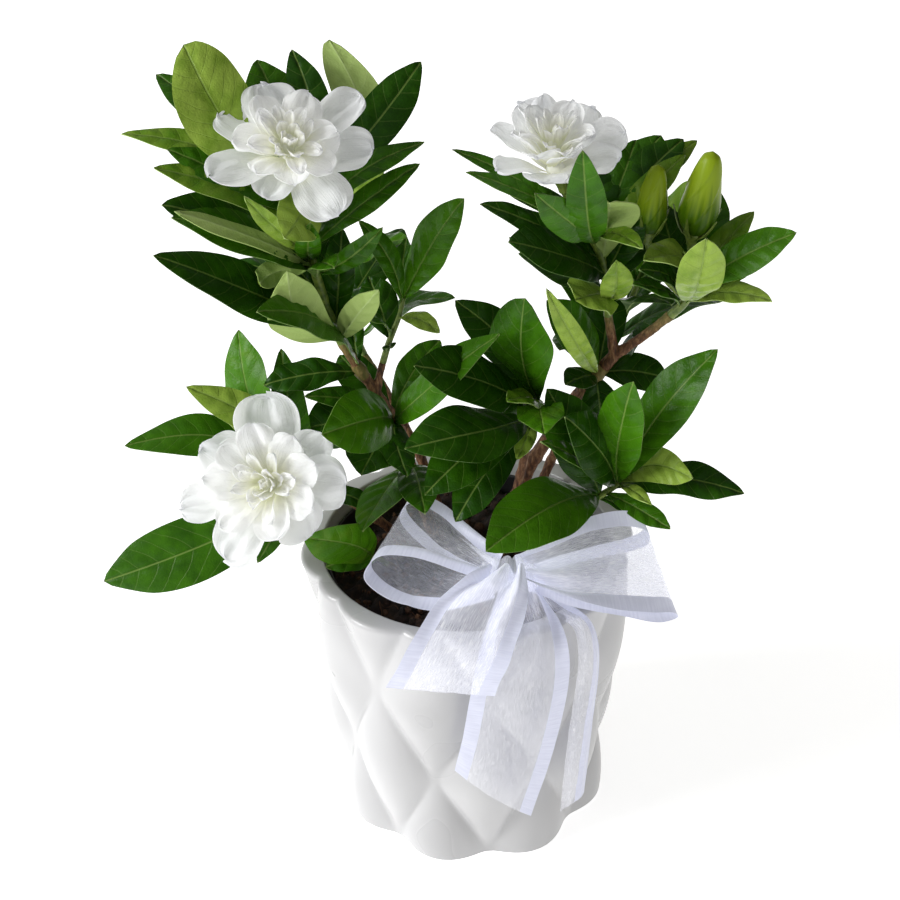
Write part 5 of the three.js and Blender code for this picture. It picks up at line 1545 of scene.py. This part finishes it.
def makeRibbon(node, run, style):
    draw = random.Random(style["seed"] + len(run["near"]) + len(node))
    sheet = bladeSheet(node + "_ribbon", *style["cells"])
    width = run.get("width", style["width"])
    flat = points(sheet.data)
    u = (flat[:, 0] + 1) / 2
    s = (flat[:, 1] + 1) / 2
    stations, index = np.unique(np.round(u, 6), return_inverse=True)
    nearCurve, farCurve = curveThrough(run["near"]), curveThrough(run["far"])
    near = np.array([nearCurve(t) for t in stations])
    far = np.array([farCurve(t) for t in stations])
    across = far - near
    middle = (near + far) / 2
    along = unit(np.gradient(middle, axis=0))
    normal = unit(np.cross(across, along))
    lengths = np.concatenate(([0], np.cumsum(np.linalg.norm(np.diff(middle, axis=0), axis=1))))
    span = np.linalg.norm(across, axis=1)
    full = np.maximum(width / span - 1, 0)
    reach = style["gatherReach"]
    startGather, endGather = run["gathers"]
    gather = startGather * np.exp(-lengths / reach) + endGather * np.exp((lengths - lengths[-1]) / reach)
    closed = np.minimum(gather, 1)
    pleats = run.get("pleats", style["pleats"])
    depth = 1.1 * span / (math.pi * pleats) * np.sqrt(full) * (0.3 + 0.7 * closed) + 0.3 * gather
    wander = 0.15 * np.sin(5 * u + draw.uniform(0, 6)) + 0.1 * np.sin(9 * s + draw.uniform(0, 6))
    pleat = np.sin(2 * math.pi * (pleats * s + wander) + draw.uniform(0, 6))
    swell = run.get("crown", 0) * np.sin(math.pi * s) * np.minimum(1, 3 * u)
    crinkle = np.array([noise.noise(Vector((x * 9, lengths[k] / 9, 0.7))) for x, k in zip(s, index)])
    lift = depth[index] * pleat + style["crinkle"] * crinkle - swell
    place = near[index] + across[index] * s[:, None] + normal[index] * lift[:, None]
    movePoints(sheet.data, place)
    setUV(sheet.data, "cloth", s * width * mm, lengths[index] * mm)
    setTone(sheet.data, run["cover"] + style["gatherCover"] * closed[index] ** 2)
    sheet.data.materials.append(skins["organza"])
    sheet.data.materials.append(skins["satin"])
    folded = width < style["width"]
    share = style["border"] / width
    for polygon in sheet.data.polygons:
        where = sum(s[v] for v in polygon.vertices) / len(polygon.vertices)
        polygon.material_index = int(1 - where < share or (where < share and not folded))
    applied(sheet, "SOLIDIFY", thickness=style["thickness"] * mm, offset=0)
    smooth(sheet, 60)
    standIn(sheet, [node])
    area = sum(polygon.area for polygon in sheet.data.polygons) / 2
    flatLength = float(lengths[-1]) * mm
    print(node, "cloth", round(area * 1e6), "mm2 of", round(flatLength * width * mm * 1e6))


for node, run in ribbonRuns.items():
    makeRibbon(node, run, bowStyle)

knotShape = {
    "route": [(5, -55, 163), (17, -56, 163), (29, -54, 160)],
    "radius": 7.6,
    "folds": 5,
    "foldDepth": 0.1,
    "crumple": 1.6,
    "cover": 0.14,
}


def makeKnot(shape):
    shares = np.linspace(0, 1, 60)
    barrel = np.sin(math.pi * np.clip(shares, 0.02, 0.98)) ** 0.3
    folds = 1 + shape["foldDepth"] * np.sin(2 * math.pi * shape["folds"] * shares)
    knot = tube(alongRoute(shape["route"], shares), shape["radius"] * barrel * folds, 9)
    place = points(knot.data) / mm
    soft = np.array([noise.fractal(Vector(p) / 5, 0.8, 2, 3) for p in place])
    normals = np.array([v.normal for v in knot.data.vertices])
    movePoints(knot.data, place + normals * (shape["crumple"] * soft)[:, None])
    setTone(knot.data, shape["cover"])
    setUV(knot.data, "cloth", place[:, 0] * mm, place[:, 2] * mm)
    knot.name = "bow_knot_wrap"
    knot.data.materials.append(skins["organza"])
    smooth(knot, 60)
    standIn(knot, ["bow_knot"])


makeKnot(knotShape)
print("bow done")


# Floor and light: plain white, brighter from the left, with places and sizes in metres

lightPlan = {
    "skyLeft": "#ffffff",
    "skyRight": "#4c4230",
    "sky": 0.55,
    "keyPlace": (-2.0, -0.6, 1.2),
    "keyPower": 42,
    "keySize": 1.1,
    "floorSize": 14,
    "floorGlow": (0.72, 0.9),     # near the pot and a metre away
    "keyAim": (0, 0, 0.2),
}


def addStage(plan):
    deselectAll()
    bpy.ops.mesh.primitive_plane_add(size=plan["floorSize"])
    floor = bpy.context.object
    floor.name = "floor"
    material, tree, shader = newMaterial("white paper sweep")
    shader.inputs["Base Color"].default_value = linear("#fbfbfb")
    shader.inputs["Roughness"].default_value = 0.9
    shader.inputs["Specular IOR Level"].default_value = 0.1
    shader.inputs["Emission Color"].default_value = (1, 1, 1, 1)
    place = addNode(tree, "ShaderNodeTexCoord").outputs["Object"]
    away = addNode(tree, "ShaderNodeVectorMath", {}, {0: place}, operation="LENGTH")
    nearGlow, farGlow = plan["floorGlow"]
    glow = addNode(tree, "ShaderNodeMapRange",
                   {"From Min": 0.15, "From Max": 1, "To Min": nearGlow, "To Max": farGlow},
                   {"Value": away.outputs["Value"]})
    tree.links.new(glow.outputs["Result"], shader.inputs["Emission Strength"])
    floor.data.materials.append(material)
    world = bpy.data.worlds.new("soft daylight")
    world.use_nodes = True
    tree = world.node_tree
    view = addNode(tree, "ShaderNodeTexCoord").outputs["Generated"]
    heading = addNode(tree, "ShaderNodeSeparateXYZ", {}, {0: view})
    share = addNode(tree, "ShaderNodeMapRange", {"From Min": -0.9, "From Max": 0.9},
                    {"Value": heading.outputs["X"]})
    shade = addNode(tree, "ShaderNodeValToRGB", {}, {"Fac": share.outputs["Result"]},
                    [(0.0, plan["skyLeft"]), (1.0, plan["skyRight"])])
    sky = tree.nodes["Background"]
    tree.links.new(shade.outputs["Color"], sky.inputs["Color"])
    sky.inputs["Strength"].default_value = plan["sky"]
    bpy.context.scene.world = world
    bpy.ops.object.light_add(type="AREA", location=plan["keyPlace"])
    key = bpy.context.object
    key.data.energy = plan["keyPower"]
    key.data.size = plan["keySize"]
    aim = Vector(plan["keyAim"]) - Vector(plan["keyPlace"])
    key.rotation_euler = aim.to_track_quat("-Z", "Y").to_euler()
    bpy.context.scene.view_settings.view_transform = "Standard"


addStage(lightPlan)
